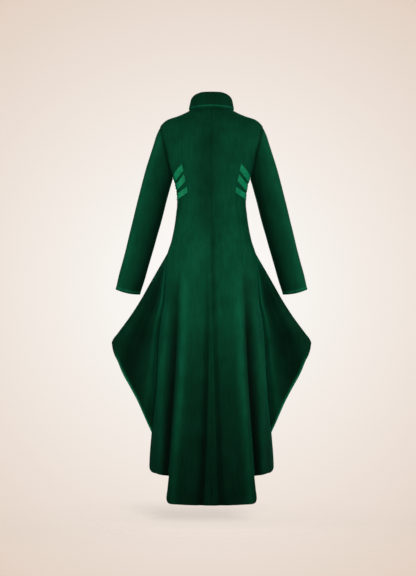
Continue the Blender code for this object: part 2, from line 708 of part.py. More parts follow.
def band_place(index, ways, share):
    """Turns and heights of a side band: ways from -0.5 to 0.5 up it, share from 0 to 1 along it.

    Round the back its middle line falls evenly with the distance from the centre. Under
    the arm its upper edge keeps below the armhole.
    """
    upper_x, lower_x, back, slope, front, tall_back, tall_side = BANDS[index]
    end_x = lower_x + (upper_x - lower_x) * (ways + 0.5)
    first = turn_at(end_x, back, True) + 0.004
    last = seam_turn(np.array([front]), False)[0]
    turn = first + (last - first) * share
    middle_x = 0.5 * (upper_x + lower_x)
    level = back + 0.6 * slope * (body(back, "half_width") - middle_x)
    reach = body(level, "half_width")
    across = reach * ring_share(np.minimum(turn, np.pi / 2.0), body(level, "roundness"))[0]
    beyond = np.clip((turn - np.pi / 2.0) / (last - np.pi / 2.0), 0.0, 1.0)
    at_side = back + slope * (reach - middle_x)
    line = back + slope * (across - middle_x) + (front - at_side) * beyond**1.5
    near_side = ease(turn, first, np.pi / 2.0)
    height = line + ways * (tall_back + (tall_side - tall_back) * near_side)
    below_arm = UNDERARM - 0.0035 + 0.005 * np.abs((turn - np.pi / 2.0) / np.radians(15.0)) ** 3
    return turn, np.minimum(height, below_arm)


def make_band(index, side, label):
    """A satin band laid over the side, from the back seam to the front seam."""
    ways = np.array([-0.5, 0.0, 0.5])[:, None]
    turn, height = band_place(index, ways, np.linspace(0.0, 1.0, BAND_STEPS + 1))
    normal = coat_normal(turn, height, side)
    under = coat_point(turn, height, side) + normal * BAND_LIFT
    return slab(f"band_{label}_{index + 1}", under + normal * BAND_THICK, under, SATIN)


def make_button(index):
    """A round button with softened edges, standing on the right front's edge."""
    height = np.array([BUTTON_HEIGHTS[index]])
    centre = coat_point(np.array([np.pi]), height, -1)[0]
    out = coat_normal(np.array([np.pi]), height, -1)[0]
    across = np.array([1.0, 0.0, 0.0])
    up = np.cross(out, across)
    around = height + np.array([-1.3, -0.7, 0.0, 0.7, 1.3]) * BUTTON_RADIUS
    rise = np.max((coat_point(np.full(5, np.pi), around, -1) - centre) @ out)
    middle = centre + out * (rise + BUTTON_LIFT + BUTTON_THICK / 2.0)
    place = Matrix.Translation(middle) @ Matrix(np.stack([across, up, out], axis=1)).to_4x4()
    shape = bmesh.new()
    bmesh.ops.create_cone(
        shape, cap_ends=True, segments=BUTTON_SIDES,
        radius1=BUTTON_RADIUS, radius2=BUTTON_RADIUS, depth=BUTTON_THICK,
    )
    made = finish_object(f"button_{index + 1}", shape, BUTTON)
    made.matrix_world = place
    rounding = made.modifiers.new("softened_edges", "BEVEL")
    rounding.width = 0.0012
    rounding.segments = 1
    return made


def make_material(name, look):
    kind, colour, roughness = look
    material = bpy.data.materials.new(f"{kind}_{name}")
    material.use_nodes = True
    shader = material.node_tree.nodes["Principled BSDF"]
    shader.inputs["Base Color"].default_value = colour
    shader.inputs["Roughness"].default_value = roughness
    return material


def main():
    for old in list(bpy.data.objects):
        bpy.data.objects.remove(old, do_unlink=True)
    collection = bpy.data.collections.new("redingote")
    bpy.context.scene.collection.children.link(collection)
    for side, label in ((1, "left"), (-1, "right")):
        make_back(side, label)
        make_side_back(side, label)
        make_side_front(side, label)
        make_front(side, label)
        make_sleeve(side, label)
        for index in range(len(BANDS)):
            make_band(index, side, label)
    make_collar_stand()
    make_collar_fall()
    for index in range(len(BUTTON_HEIGHTS)):
        make_button(index)


main()
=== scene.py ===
"""A dark green velvet redingote, filled out with nobody inside, seen from behind.

Metres, +Z up. The coat's front faces -Y and the wearer's left is +X. Each piece is
a thin shell on the form of its solid. The panels share one surface, coat_point(turn,
height, side): turn is 0 at the centre back, 90 degrees at the side and 180 degrees
at the centre front, and side is 1 on the wearer's left and -1 on the right.
"""

import bmesh
import bpy
import numpy as np
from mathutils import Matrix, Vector


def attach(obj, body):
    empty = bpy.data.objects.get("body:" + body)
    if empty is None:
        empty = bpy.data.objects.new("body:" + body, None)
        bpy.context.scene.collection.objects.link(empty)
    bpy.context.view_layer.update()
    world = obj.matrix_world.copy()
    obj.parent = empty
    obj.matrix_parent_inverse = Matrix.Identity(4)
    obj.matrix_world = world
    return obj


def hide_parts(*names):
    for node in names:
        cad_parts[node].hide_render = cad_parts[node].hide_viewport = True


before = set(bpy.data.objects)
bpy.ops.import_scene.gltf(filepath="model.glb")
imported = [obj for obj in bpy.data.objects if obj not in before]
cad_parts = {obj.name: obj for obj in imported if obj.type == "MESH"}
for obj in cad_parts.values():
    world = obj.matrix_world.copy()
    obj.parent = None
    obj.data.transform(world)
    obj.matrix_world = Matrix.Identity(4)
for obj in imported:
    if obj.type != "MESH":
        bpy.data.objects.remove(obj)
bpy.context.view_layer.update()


def table(columns, rows):
    """The columns of a table by their names, from its rows."""
    return dict(zip(columns.split(), np.array(rows).T))


LABELS = {1: "left", -1: "right"}

# Lengths in metres. Neighbouring panels run a little into each other, so their gap is
# below zero.
CLOTH = 0.0020
SEAM_GAP = -0.0002
EDGE_ROUND = 0.0009
SEAM_DIP = 0.0011
SEAM_DIP_BREADTH = 0.0035
BAND_THICK = 0.0010
BAND_LIFT = 0.0006
COLLAR_BORDER = 0.0050
OVERLAP = 0.022
OVERLAP_GAP = 0.0005
BUTTON_RADIUS = 0.011
BUTTON_THICK = 0.0040
BUTTON_LIFT = 0.0005
CUFF_STITCH_RISE = 0.012
CUFF_STEP = 0.003
CUFF_GROOVE = 0.0010
HEM_DEPTH = 0.022
HEM_RISE = 0.0004
PUCKER = 0.0002
STITCH_PITCH = 0.0034
STITCH_LENGTH = 0.0026
STITCH_THICK = 0.0006

# How many rings of points a stitch has, and how many points a ring.
STITCH_RINGS = 7
STITCH_SIDES = 6

# Share of its breadth that a hollow fold has toward the centre and away from it, share
# of a fold's rise that also goes sideways, and how square the front is beside the back.
HOLLOW_NEAR = 0.62
HOLLOW_FAR = 1.25
FOLD_SIDEWAYS = 0.3
FRONT_FOLD_SIDEWAYS = 0.4
FRONT_SQUARENESS = 0.6

# The neck's oval, how far parts are tucked in, and heights from the nape.
NECK_HALF_WIDTH = 0.0700
NECK_HALF_DEPTH = 0.0500
NECK_HEIGHT = 0.006
STAND_TUCK = 0.0060
STAND_FRONT_LIFT = 0.0016
SLEEVE_TUCK = 0.0040
SLEEVE_TUCK_DEPTH = 0.0012
SHOULDER_SPLIT = -0.013
SHOULDER_TIP = -0.058
UNDERARM = -0.241
ARMHOLE_MIDDLE = (SHOULDER_TIP + UNDERARM) / 2.0
ARMHOLE_HALF = (SHOULDER_TIP - UNDERARM) / 2.0
FLARE_START = -0.545
SIDE_HEM = -1.168
SIDE_BACK_HEM = -1.317
BACK_HEM = -1.418
FRONT_HEM = -0.826
BACK_HEM_SWEEP = 0.004

# Where the hems' rounded corners start, as a share of the way across, and their rise.
SIDE_CORNER_START = 0.915
SIDE_CORNER_RISE = 0.019
BACK_CORNER_START = 0.84
BACK_CORNER_RISE = 0.020

# Horizontal sections of the coat, from the neck down to the back hem.
BODY = table("height half_width back front roundness", [
    (0.006, 0.0780, 0.058, 0.058, 2.00),
    (0.000, 0.0880, 0.062, 0.062, 2.00),
    (-0.015, 0.1210, 0.068, 0.068, 2.05),
    (-0.029, 0.1610, 0.073, 0.075, 2.10),
    (-0.044, 0.1793, 0.077, 0.081, 2.20),
    (-0.058, 0.1885, 0.081, 0.087, 2.25),
    (-0.095, 0.1905, 0.089, 0.100, 2.35),
    (-0.135, 0.1850, 0.094, 0.113, 2.40),
    (-0.171, 0.1770, 0.096, 0.122, 2.40),
    (-0.204, 0.1630, 0.096, 0.126, 2.35),
    (-0.241, 0.1410, 0.093, 0.123, 2.30),
    (-0.277, 0.1303, 0.088, 0.112, 2.25),
    (-0.321, 0.1252, 0.081, 0.097, 2.20),
    (-0.365, 0.1287, 0.081, 0.092, 2.20),
    (-0.409, 0.1340, 0.087, 0.094, 2.20),
    (-0.467, 0.1455, 0.102, 0.103, 2.25),
    (-0.526, 0.1630, 0.117, 0.114, 2.30),
    (-0.600, 0.1695, 0.131, 0.127, 2.30),
    (-0.686, 0.1735, 0.145, 0.146, 2.30),
    (-0.759, 0.1870, 0.155, 0.160, 2.30),
    (-0.832, 0.1940, 0.165, 0.175, 2.30),
    (-0.978, 0.2010, 0.182, 0.200, 2.30),
    (-1.168, 0.2190, 0.200, 0.230, 2.30),
    (-1.270, 0.2268, 0.207, 0.242, 2.30),
    (-1.430, 0.2310, 0.217, 0.260, 2.30),
])

# How far the rows rise at the centre back and at the centre front.
LIFT = table("height back front", [
    (0.006, 0.007, -0.066),
    (-0.015, 0.002, -0.066),
    (-0.029, -0.003, -0.070),
    (-0.058, -0.006, -0.076),
    (-0.120, 0.000, -0.058),
    (-0.241, 0.000, 0.000),
])

# The fold that stands out at each side of the skirt: its edge and its hollow.
WING = table("height edge_x edge_y hollow", [
    (-0.505, 0.1565, 0.000, 0.000),
    (-0.526, 0.1670, 0.000, 0.001),
    (-0.569, 0.1920, -0.004, 0.006),
    (-0.628, 0.2260, -0.009, 0.012),
    (-0.686, 0.2590, -0.014, 0.018),
    (-0.745, 0.2970, -0.020, 0.023),
    (-0.803, 0.3398, -0.026, 0.027),
    (-0.832, 0.3608, -0.029, 0.029),
    (-0.847, 0.3670, -0.030, 0.029),
    (-0.950, 0.4300, -0.036, 0.030),
    (-1.200, 0.5800, -0.044, 0.030),
])
WING_ROUNDNESS = 2.6
WING_SHARE = 0.44
QUARTER = np.pi / 2.0
SIDE_TURN = np.radians(80.0)

# Spans below the nape over which the front flares out, the side fold comes in, the
# painted highlight on its ridge fades and the side front's columns crowd onto it.
FRONT_FLARE = (0.505, 0.526)
WING_FLARE = (0.505, 0.600)
WING_RIDGE_HIGHLIGHT_FADE = (0.66, 0.84)
WING_CROWDING = (0.45, 0.62)

# The ridge and the valley across the side fold's back face: where they are, then how
# strong and broad they are in the shape and in the painted highlight and shade.
WING_RIDGE = 0.11
WING_VALLEY = 0.45
RIDGE_SHAPE = (0.45, 0.08)
VALLEY_SHAPE = (1.0, 0.20)
RIDGE_PAINTED_HIGHLIGHT = (0.34, 0.05)
VALLEY_PAINTED_SHADE = (0.29, 0.26)

# Height of the side front's hem, from the side seam to the edge of the fold.
WING_HEM = table("share height", [
    (0.000, -1.168),
    (0.064, -1.110),
    (0.144, -1.051),
    (0.280, -0.980),
    (0.481, -0.901),
    (0.800, -0.848),
    (1.000, -0.840),
])

# Distance of the shaping seams from the centre, at the back and at the front.
SEAM = table("height back_x front_x", [
    (-0.013, 0.1160, 0.1160),
    (-0.029, 0.1140, 0.1130),
    (-0.058, 0.1130, 0.1100),
    (-0.102, 0.1110, 0.1050),
    (-0.157, 0.1060, 0.0980),
    (-0.200, 0.1000, 0.0930),
    (-0.260, 0.0935, 0.0850),
    (-0.321, 0.0910, 0.0760),
    (-0.380, 0.0980, 0.0790),
    (-0.440, 0.1050, 0.0860),
    (-0.560, 0.1070, 0.1020),
    (-0.686, 0.1140, 0.1230),
    (-0.832, 0.1190, 0.1500),
    (-0.978, 0.1250, 0.1750),
    (-1.124, 0.1350, 0.2000),
    (-1.270, 0.1520, 0.2200),
    (-1.418, 0.1665, 0.2400),
])

# Back half of the armhole: its distance from the centre.
ARMHOLE = table("height x", [
    (-0.0580, 0.1885),
    (-0.0635, 0.1862),
    (-0.0794, 0.1820),
    (-0.1038, 0.1775),
    (-0.1336, 0.1705),
    (-0.1654, 0.1630),
    (-0.1953, 0.1550),
    (-0.2196, 0.1475),
    (-0.2355, 0.1420),
    (-0.2410, 0.1410),
])

# The skirt's vertical folds: place from the centre, height of the fold, breadth.
FOLD_COLUMNS = "height place depth breadth"
FOLDS = {
    "centre_left": table(FOLD_COLUMNS, [
        (-0.560, 0.010, 0.000, 0.009),
        (-0.759, 0.013, -0.006, 0.009),
        (-1.051, 0.020, -0.010, 0.010),
        (-1.270, 0.027, -0.012, 0.011),
        (-1.416, 0.036, -0.012, 0.013),
    ]),
    "centre_right": table(FOLD_COLUMNS, [
        (-0.560, 0.009, 0.000, 0.009),
        (-0.759, 0.011, -0.004, 0.009),
        (-1.051, 0.020, -0.007, 0.010),
        (-1.270, 0.027, -0.008, 0.011),
        (-1.416, 0.032, -0.008, 0.013),
    ]),
    "inner_ridge": table(FOLD_COLUMNS, [
        (-0.560, 0.095, 0.000, 0.018),
        (-0.832, 0.104, 0.007, 0.018),
        (-0.978, 0.110, 0.009, 0.018),
        (-1.270, 0.133, 0.010, 0.017),
        (-1.416, 0.140, 0.009, 0.017),
    ]),
    "side_valley": table(FOLD_COLUMNS, [
        (-0.540, 0.120, 0.000, 0.014),
        (-0.686, 0.125, -0.009, 0.014),
        (-0.832, 0.130, -0.017, 0.014),
        (-0.978, 0.138, -0.022, 0.015),
        (-1.124, 0.148, -0.024, 0.015),
        (-1.270, 0.159, -0.024, 0.015),
        (-1.416, 0.171, -0.022, 0.015),
    ]),
    "side_ridge": table(FOLD_COLUMNS, [
        (-0.620, 0.155, 0.000, 0.015),
        (-0.759, 0.162, 0.007, 0.015),
        (-0.978, 0.182, 0.010, 0.015),
        (-1.270, 0.184, 0.010, 0.015),
        (-1.416, 0.186, 0.010, 0.015),
    ]),
}
FRONT_FOLDS = {
    "front_valley": table(FOLD_COLUMNS, [
        (-0.480, 0.105, 0.000, 0.016),
        (-0.620, 0.130, -0.006, 0.018),
        (-0.830, 0.178, -0.014, 0.024),
        (-1.000, 0.210, -0.016, 0.028),
    ]),
    "front_ridge": table(FOLD_COLUMNS, [
        (-0.520, 0.140, 0.000, 0.018),
        (-0.680, 0.182, 0.005, 0.022),
        (-0.830, 0.238, 0.011, 0.030),
        (-1.000, 0.280, 0.012, 0.034),
    ]),
}

# Collar, by turn in degrees: height of the top roll and of the fall's lower edge.
COLLAR = table("turn top edge", [
    (0.0, 0.0698, 0.0190),
    (25.0, 0.0690, 0.0172),
    (45.0, 0.0642, 0.0148),
    (66.0, 0.0552, 0.0118),
    (90.0, 0.0428, 0.0085),
    (115.0, 0.0262, -0.0060),
    (140.0, 0.0050, -0.0330),
    (160.0, -0.0140, -0.0560),
    (176.0, -0.0240, -0.0640),
])
COLLAR_END = np.radians(176.5)

# Section of the turned-down collar from its inner roll to its lower edge:
# distance outside the neck's oval, share of the way down, and a small rise.
FALL = table("along reach down rise", [
    (0.00, 0.0004, 0.00, -0.0008),
    (0.06, 0.0020, 0.00, -0.0002),
    (0.14, 0.0044, 0.05, -0.0006),
    (0.30, 0.0062, 0.22, 0.0000),
    (0.60, 0.0092, 0.55, 0.0000),
    (0.85, 0.0122, 0.84, 0.0000),
    (1.00, 0.0139, 1.00, 0.0000),
])

# Section of the upright band: shares of the way up it, and its distance outside the oval.
STAND_SECTION = ((0.0, 0.12, 0.50, 1.0), (0.0050, 0.0062, 0.0025, 0.0000))

# Sleeve rings: outer and inner point of the outline, front to back centre and half depth.
SLEEVE = table("ring outer_x outer_z inner_x inner_z centre_y half_depth", [
    (0, 0.1885, -0.058, 0.1410, -0.241, -0.006, 0.054),
    (1, 0.2017, -0.088, 0.1430, -0.252, -0.004, 0.055),
    (2, 0.2124, -0.122, 0.1465, -0.263, -0.003, 0.056),
    (3, 0.2262, -0.165, 0.1508, -0.278, -0.003, 0.056),
    (4, 0.2395, -0.207, 0.1569, -0.300, -0.004, 0.055),
    (5, 0.2520, -0.253, 0.1649, -0.330, -0.005, 0.053),
    (6, 0.2640, -0.300, 0.1739, -0.366, -0.006, 0.051),
    (7, 0.2760, -0.347, 0.1849, -0.408, -0.008, 0.050),
    (8, 0.2880, -0.397, 0.1969, -0.449, -0.010, 0.049),
    (9, 0.3005, -0.447, 0.2089, -0.492, -0.013, 0.047),
    (10, 0.3125, -0.497, 0.2214, -0.534, -0.017, 0.045),
    (11, 0.3251, -0.545, 0.2334, -0.576, -0.021, 0.043),
    (12, 0.3384, -0.592, 0.2453, -0.617, -0.025, 0.042),
    (13, 0.3510, -0.648, 0.2620, -0.667, -0.030, 0.041),
])

# Side bands: distance of the back end's upper and lower corner from the centre, height
# of its middle, slope round to the side, height of the front end, and how tall it is.
BANDS = table("upper_x lower_x back slope front tall_back tall_side", [
    (0.0990, 0.1020, -0.2145, -0.84, -0.270, 0.0200, 0.0205),
    (0.0945, 0.0955, -0.2470, -0.89, -0.303, 0.0225, 0.0235),
    (0.0875, 0.0875, -0.2870, -0.60, -0.337, 0.0205, 0.0225),
])

BUTTON_HEIGHTS = (-0.024, -0.096, -0.241, -0.315, -0.390, -0.465, -0.540)

# Soft creases: side (0 is both), place of the middle round the cloth in
# degrees and along it, length, breadth, lean from level in degrees, bow and depth.
CREASE_COLUMNS = ("side", "round", "place", "length", "breadth", "lean", "bow", "depth")

# Creases of the body; round is the turn and place is the height.
CREASES = np.array([
    (0, 46.0, -0.262, 0.110, 0.010, 18.0, 0.010, -0.0016),
    (1, 30.0, -0.330, 0.090, 0.009, 8.0, -0.006, -0.0012),
    (-1, 34.0, -0.345, 0.080, 0.009, 12.0, -0.006, -0.0012),
    (0, 64.0, -0.352, 0.100, 0.010, -6.0, 0.008, -0.0014),
    (0, 60.0, -0.150, 0.090, 0.012, 70.0, 0.010, -0.0018),
    (1, 24.0, -0.120, 0.110, 0.014, 62.0, 0.008, -0.0010),
    (-1, 28.0, -0.135, 0.120, 0.014, 66.0, 0.008, -0.0010),
    (0, 150.0, -0.330, 0.090, 0.010, -10.0, 0.006, -0.0014),
    (0, 122.0, -0.240, 0.110, 0.012, -24.0, 0.008, -0.0018),
    (0, 128.0, -0.150, 0.100, 0.013, -60.0, 0.010, -0.0018),
])

# Creases of the sleeves; round is the angle and place is the distance down the sleeve.
SLEEVE_CREASES = np.array([
    (0, 140.0, 0.060, 0.080, 0.010, 30.0, 0.008, -0.0016),
    (0, 225.0, 0.075, 0.075, 0.010, -32.0, 0.008, -0.0020),
    (1, 105.0, 0.330, 0.075, 0.009, 20.0, 0.006, -0.0010),
    (-1, 100.0, 0.345, 0.065, 0.009, 24.0, 0.006, -0.0010),
    (0, 235.0, 0.320, 0.080, 0.010, -22.0, 0.006, -0.0016),
    (1, 262.0, 0.420, 0.060, 0.008, -10.0, 0.004, -0.0010),
    (-1, 268.0, 0.375, 0.070, 0.009, -14.0, 0.004, -0.0010),
])

# Painted shade down the coat, from the neck to the hem, lightest at the hips.
PAINTED_FALLOFF = table("height tone", [
    (0.006, 0.38),
    (-0.015, 0.57),
    (-0.080, 0.75),
    (-0.240, 0.88),
    (-0.400, 0.95),
    (-0.600, 0.99),
    (-0.720, 0.88),
    (-0.850, 0.61),
    (-1.000, 0.47),
    (-1.150, 0.37),
    (-1.280, 0.30),
    (-1.420, 0.26),
])

# Painted light and shade round a sleeve, from its lit outer edge at 0 to its inner edge at 1.
SLEEVE_PAINTED_LIGHT = table("share tone", [
    (0.00, 1.22),
    (0.12, 1.14),
    (0.28, 0.80),
    (0.50, 0.56),
    (0.77, 0.30),
    (1.00, 0.10),
])

# Sewn edges of each panel: strength of the seam's dip and its painted shade and of the
# armhole's painted shade at its first and its last column, and where its puckers start.
PANEL_EDGES = {
    "back": ((0.35, 0.15), (0.0, 0.0), 0.7),
    "side_back": ((0.15, 0.80), (0.0, 1.0), 2.3),
    "side_front": ((0.80, 0.50), (1.0, 0.0), 4.1),
    "front": ((0.50, 0.0), (0.0, 0.0), 5.9),
}

# Painted shades: strength, then the spans below the nape, from and to, over which each
# one comes in and ends.
SHADES = {
    "spine": (0.46, 0.02, 0.12, 0.36, 0.52),
    "side_fold": (0.20, 0.53, 0.59, 1.50, 1.60),
    "side_fold_top": (0.34, 0.53, 0.59, 0.67, 0.79),
    "beside_fold": (0.26, 0.59, 0.66, 0.80, 0.92),
    "centre_seam": (0.28, 0.38, 0.48, 0.70, 0.82),
    "by_centre_seam": (0.20, 0.38, 0.48, 0.70, 0.82),
}

# How steeply the painted shade and highlight follow the folds and how far they may go, how
# much painted shade lies in a seam's dip, by the armhole and at the sleeve's top, and the
# least that is left.
PAINTED_SHADE_IN_FOLDS = 85.0
PAINTED_LIGHT_RANGE = (0.20, 2.20)
PAINTED_LIGHT_LOWEST = 0.08
PAINTED_SHADE_ON_SEAM = 0.40
PAINTED_SHADE_BY_ARMHOLE = 0.55
PAINTED_SHADE_AT_ARMHOLE = 0.25
PAINTED_SHADE_AT_SLEEVE_TOP = 0.50

# How much painted highlight lies along the turned edges, over what distance, and the satin's painted
# sheen at the side.
WING_HEM_PAINTED_HIGHLIGHT = 2.6
HEM_HIGHLIGHT_BREADTH = 0.0090
FRONT_EDGE_PAINTED_HIGHLIGHT = 0.7
EDGE_HIGHLIGHT_BREADTH = 0.0025
CUFF_PAINTED_HIGHLIGHT = 0.8
CUFF_EDGE_PAINTED_HIGHLIGHT = 0.5
COLLAR_EDGE_PAINTED_HIGHLIGHT = 1.5
SATIN_PAINTED_SHEEN_AT_SIDE = 0.85

# Linear colours of the cloths and of the thread.
VELVET_DARK = (0.0006, 0.034, 0.0145)
VELVET_LIGHT = (0.0016, 0.054, 0.0245)
VELVET_SHEEN = (0.02, 0.80, 0.40, 1.0)
WRONG_SIDE_DARK = (0.004, 0.030, 0.018, 1.0)
WRONG_SIDE_LIGHT = (0.006, 0.042, 0.026, 1.0)
SATIN_DARK = (0.002, 0.112, 0.046)
SATIN_LIGHT = (0.005, 0.165, 0.070)
THREAD = (0.010, 0.100, 0.055, 1.0)

# The picture's scale and height in pixels, the camera's sensor and place, and the floor.
PIXEL = 0.00365
PICTURE_HEIGHT = 576.0
SENSOR = 36.0
FLOOR_HEIGHT = -1.500
FLOOR_RADIUS = 1.10
CAMERA_AWAY = 9.0
CAMERA_HEIGHT = -0.6424
CAMERA_ACROSS = 0.0128

LAMP_COLOUR = (1.0, 0.975, 0.94)
LAMP_COLUMNS = ("name", "x", "y", "z", "size", "spread", "power", "aim_z")
LAMPS = (
    ("behind", -0.5, 4.2, -0.30, 1.2, 50.0, 18.0, -0.46),
    ("before", 0.5, -4.2, -0.30, 1.2, 50.0, 18.0, -0.46),
    ("left", 3.4, 0.6, -0.20, 1.2, 70.0, 7.0, -0.45),
    ("right", -3.4, -0.6, -0.20, 1.2, 70.0, 7.0, -0.45),
    ("above", 0.0, 0.6, 3.0, 1.6, 80.0, 4.0, -0.40),
)

# The backdrop's colour by distance from the picture's middle, 1.0 being 400 pixels.
BACKDROP_REACH = 400.0
BACKDROP = (
    (0.15, (250, 247, 244)),
    (0.30, (245, 240, 234)),
    (0.50, (240, 230, 222)),
    (0.70, (233, 219, 208)),
    (0.89, (227, 209, 195)),
)


def smooth_column(at, rows, name):
    """One column of a table at values of its first column, by monotone cubic pieces."""
    knots = next(iter(rows.values()))
    order = np.argsort(knots)
    knots = knots[order]
    values = rows[name][order]
    steps = np.diff(knots)
    slopes = np.diff(values) / steps
    same = slopes[:-1] * slopes[1:] > 0.0
    bend = np.where(same, slopes[:-1] + slopes[1:], 1.0)
    inner = np.where(same, 2.0 * slopes[:-1] * slopes[1:] / bend, 0.0)
    tangents = np.concatenate([slopes[:1], inner, slopes[-1:]])
    at = np.clip(np.asarray(at, float), knots[0], knots[-1])
    i = np.clip(np.searchsorted(knots, at) - 1, 0, len(steps) - 1)
    t = (at - knots[i]) / steps[i]
    start = (2.0 * t - 3.0) * t * t + 1.0
    leave = ((t - 2.0) * t + 1.0) * t * steps[i]
    arrive = (t - 1.0) * t * t * steps[i]
    ends = start * values[i] + leave * tangents[i] + (1.0 - start) * values[i + 1]
    return ends + arrive * tangents[i + 1]


def ease(value, low, high):
    """0 below low, 1 above high and a smooth step between them."""
    share = np.clip((value - low) / (high - low), 0.0, 1.0)
    return share * share * (3.0 - 2.0 * share)


def below(height, span):
    """0 above a span down the coat, 1 below it; spans count down from the nape."""
    return ease(-height, *span)


def bell(distance, breadth):
    """1 at no distance, falling on both sides as exp(-(distance / breadth) ** 2)."""
    return np.exp(-((distance / breadth) ** 2))


def unit(vectors):
    return vectors / np.maximum(np.linalg.norm(vectors, axis=-1, keepdims=True), 1e-12)


def one_shape(*parts):
    """Numbers and arrays of numbers, brought to one shape."""
    return np.broadcast_arrays(*(np.asarray(part, float) for part in parts))


def joined(*parts):
    """Coordinates brought to one shape, with the last axis running over them."""
    return np.stack(one_shape(*parts), axis=-1)


def moved(points, direction, distance):
    """Points moved along their directions, each by its own distance."""
    return points + direction * distance[..., None]


def shares(count):
    """Even shares from 0 to 1."""
    return np.linspace(0.0, 1.0, count)


def angles(count):
    """Even angles round a full turn."""
    return np.linspace(0.0, 2.0 * np.pi, count, endpoint=False)


def body(height, name):
    return smooth_column(height, BODY, name)


def ring_share(turn, roundness):
    """Sideways and lengthways share of a superellipse at a turn from the back."""
    across = np.abs(np.sin(turn)) ** roundness
    along = np.abs(np.cos(turn)) ** roundness
    reach = (across + along) ** (-1.0 / roundness)
    return np.sin(turn) * reach, np.cos(turn) * reach


def fold_sum(folds, place, height):
    """Sum of soft folds, each a bell across the skirt that runs down it.

    A hollow is steeper on the side toward the centre than on the far side.
    """
    total = np.zeros(np.broadcast(place, height).shape)
    for fold in folds:
        middle = smooth_column(height, fold, "place")
        depth = smooth_column(height, fold, "depth")
        breadth = smooth_column(height, fold, "breadth")
        lean = np.where(depth < 0.0, np.where(place < middle, HOLLOW_NEAR, HOLLOW_FAR), 1.0)
        total = total + depth * bell(place - middle, breadth * lean)
    return total


def back_folds(place, height, side):
    """Rise of the back's folds; the one by the centre differs from side to side."""
    centre = "centre_left" if side > 0 else "centre_right"
    names = (centre, "inner_ridge", "side_valley", "side_ridge")
    return fold_sum([FOLDS[name] for name in names], place, height)


def row_lift(turn, height):
    """How far a row rises above its own height, most at the centre back and front."""
    back = smooth_column(height, LIFT, "back")
    front = smooth_column(height, LIFT, "front")
    along = np.cos(turn)
    return np.where(along > 0.0, back, front) * along * along


def back_point(turn, height, side):
    """The back of the coat, from the centre back to the side."""
    x_share, y_share = ring_share(turn, body(height, "roundness"))
    x = body(height, "half_width") * x_share
    y = body(height, "back") * y_share
    fold = back_folds(np.abs(x), height, side)
    return x + FOLD_SIDEWAYS * fold * x_share, y + fold * y_share


def ridge_and_valley(reach, ridge, valley):
    """Bells at the side fold's ridge and valley, each given by its strength and breadth."""
    return (ridge[0] * bell(reach - WING_RIDGE, ridge[1]),
            valley[0] * bell(reach - WING_VALLEY, valley[1]))


def wing_point(share, height, side):
    """The back face of the side fold: share 0 at the side seam, 1 at the fold's edge."""
    seam_x, seam_y = back_point(np.full_like(height, SIDE_TURN), height, side)
    edge_x = smooth_column(height, WING, "edge_x")
    edge_y = smooth_column(height, WING, "edge_y")
    hollow = smooth_column(height, WING, "hollow")
    x_share, y_share = ring_share(share * QUARTER, WING_ROUNDNESS)
    ridge, valley = ridge_and_valley(x_share, RIDGE_SHAPE, VALLEY_SHAPE)
    x = seam_x + (edge_x - seam_x) * x_share
    y = edge_y + (seam_y - edge_y) * y_share + hollow * (ridge - valley) * ease(share, 0.0, 0.05)
    return x, y


def front_shape(height):
    """Half width and roundness of the front's sections, and how far they have flared."""
    flare = below(height, FRONT_FLARE)
    edge_x = smooth_column(height, WING, "edge_x")
    half_width = body(height, "half_width") * (1.0 - flare) + edge_x * flare
    return half_width, 2.0 + FRONT_SQUARENESS * (body(height, "roundness") - 2.0), flare


def front_point(turn, height):
    """The front of the coat, from the fold's edge to the centre front and past it."""
    half_width, roundness, flare = front_shape(height)
    x_share, y_share = ring_share(turn, roundness)
    edge_y = smooth_column(height, WING, "edge_y") * flare
    x = half_width * x_share
    fold = fold_sum(FRONT_FOLDS.values(), np.abs(x), height)
    y = edge_y + (body(height, "front") + edge_y) * y_share
    return x + FRONT_FOLD_SIDEWAYS * fold * x_share, y + fold * y_share


def wing_share(turn):
    """Share of the way over the side fold's back face, from the side seam to its edge."""
    return np.clip((turn - SIDE_TURN) / (QUARTER - SIDE_TURN), 0.0, 1.0)


def by_part(turn, back, aside, front):
    """By the turn: the back's value, that of the side fold's back face, or the front's."""
    return np.where(turn < SIDE_TURN, back, np.where(turn < QUARTER, aside, front))


def coat_point(turn, height, side):
    """A point of the coat's outside: superellipse sections joined over the height.

    The side fold's back face is blended in over the last ten degrees before the side.
    """
    turn, height = one_shape(turn, height)
    back_x, back_y = back_point(np.minimum(turn, QUARTER), height, side)
    wing_x, wing_y = wing_point(wing_share(turn), height, side)
    front_x, front_y = front_point(np.maximum(turn, QUARTER), height)
    flare = below(height, WING_FLARE)
    x = by_part(turn, back_x, back_x + (wing_x - back_x) * flare, front_x)
    y = by_part(turn, back_y, back_y + (wing_y - back_y) * flare, front_y)
    return joined(side * x, y, height + row_lift(turn, height))


def coat_slopes(turn, height, side):
    """The surface's slope along the turn and along the height."""
    slopes = []
    for turn_step, height_step in ((np.radians(0.4), 0.0), (0.0, 0.002)):
        ahead = coat_point(turn + turn_step, height + height_step, side)
        behind = coat_point(turn - turn_step, height - height_step, side)
        slopes.append((ahead - behind) / (2.0 * (turn_step + height_step)))
    return slopes


def coat_normal(turn, height, side):
    """Unit direction out of the coat."""
    along_turn, along_height = coat_slopes(turn, height, side)
    return unit(side * np.cross(along_height, along_turn))


def crease_sum(creases, across, down, side):
    """Sum of soft creases, each depth * exp(-(beside / breadth) ** 2 - along ** 4).

    across(middle) is the distance from a crease's middle round the cloth, down is the
    distance along the cloth's length. Each crease leans, and its line bows.
    """
    total = 0.0
    for row in creases:
        crease = dict(zip(CREASE_COLUMNS, row))
        if crease["side"] * side < 0:
            continue
        u = across(crease["round"])
        v = down - crease["place"]
        lean = np.radians(crease["lean"])
        along = (u * np.cos(lean) + v * np.sin(lean)) * 2.0 / crease["length"]
        beside = v * np.cos(lean) - u * np.sin(lean) - crease["bow"] * along**2
        total = total + crease["depth"] * np.exp(-((beside / crease["breadth"]) ** 2) - along**4)
    return total


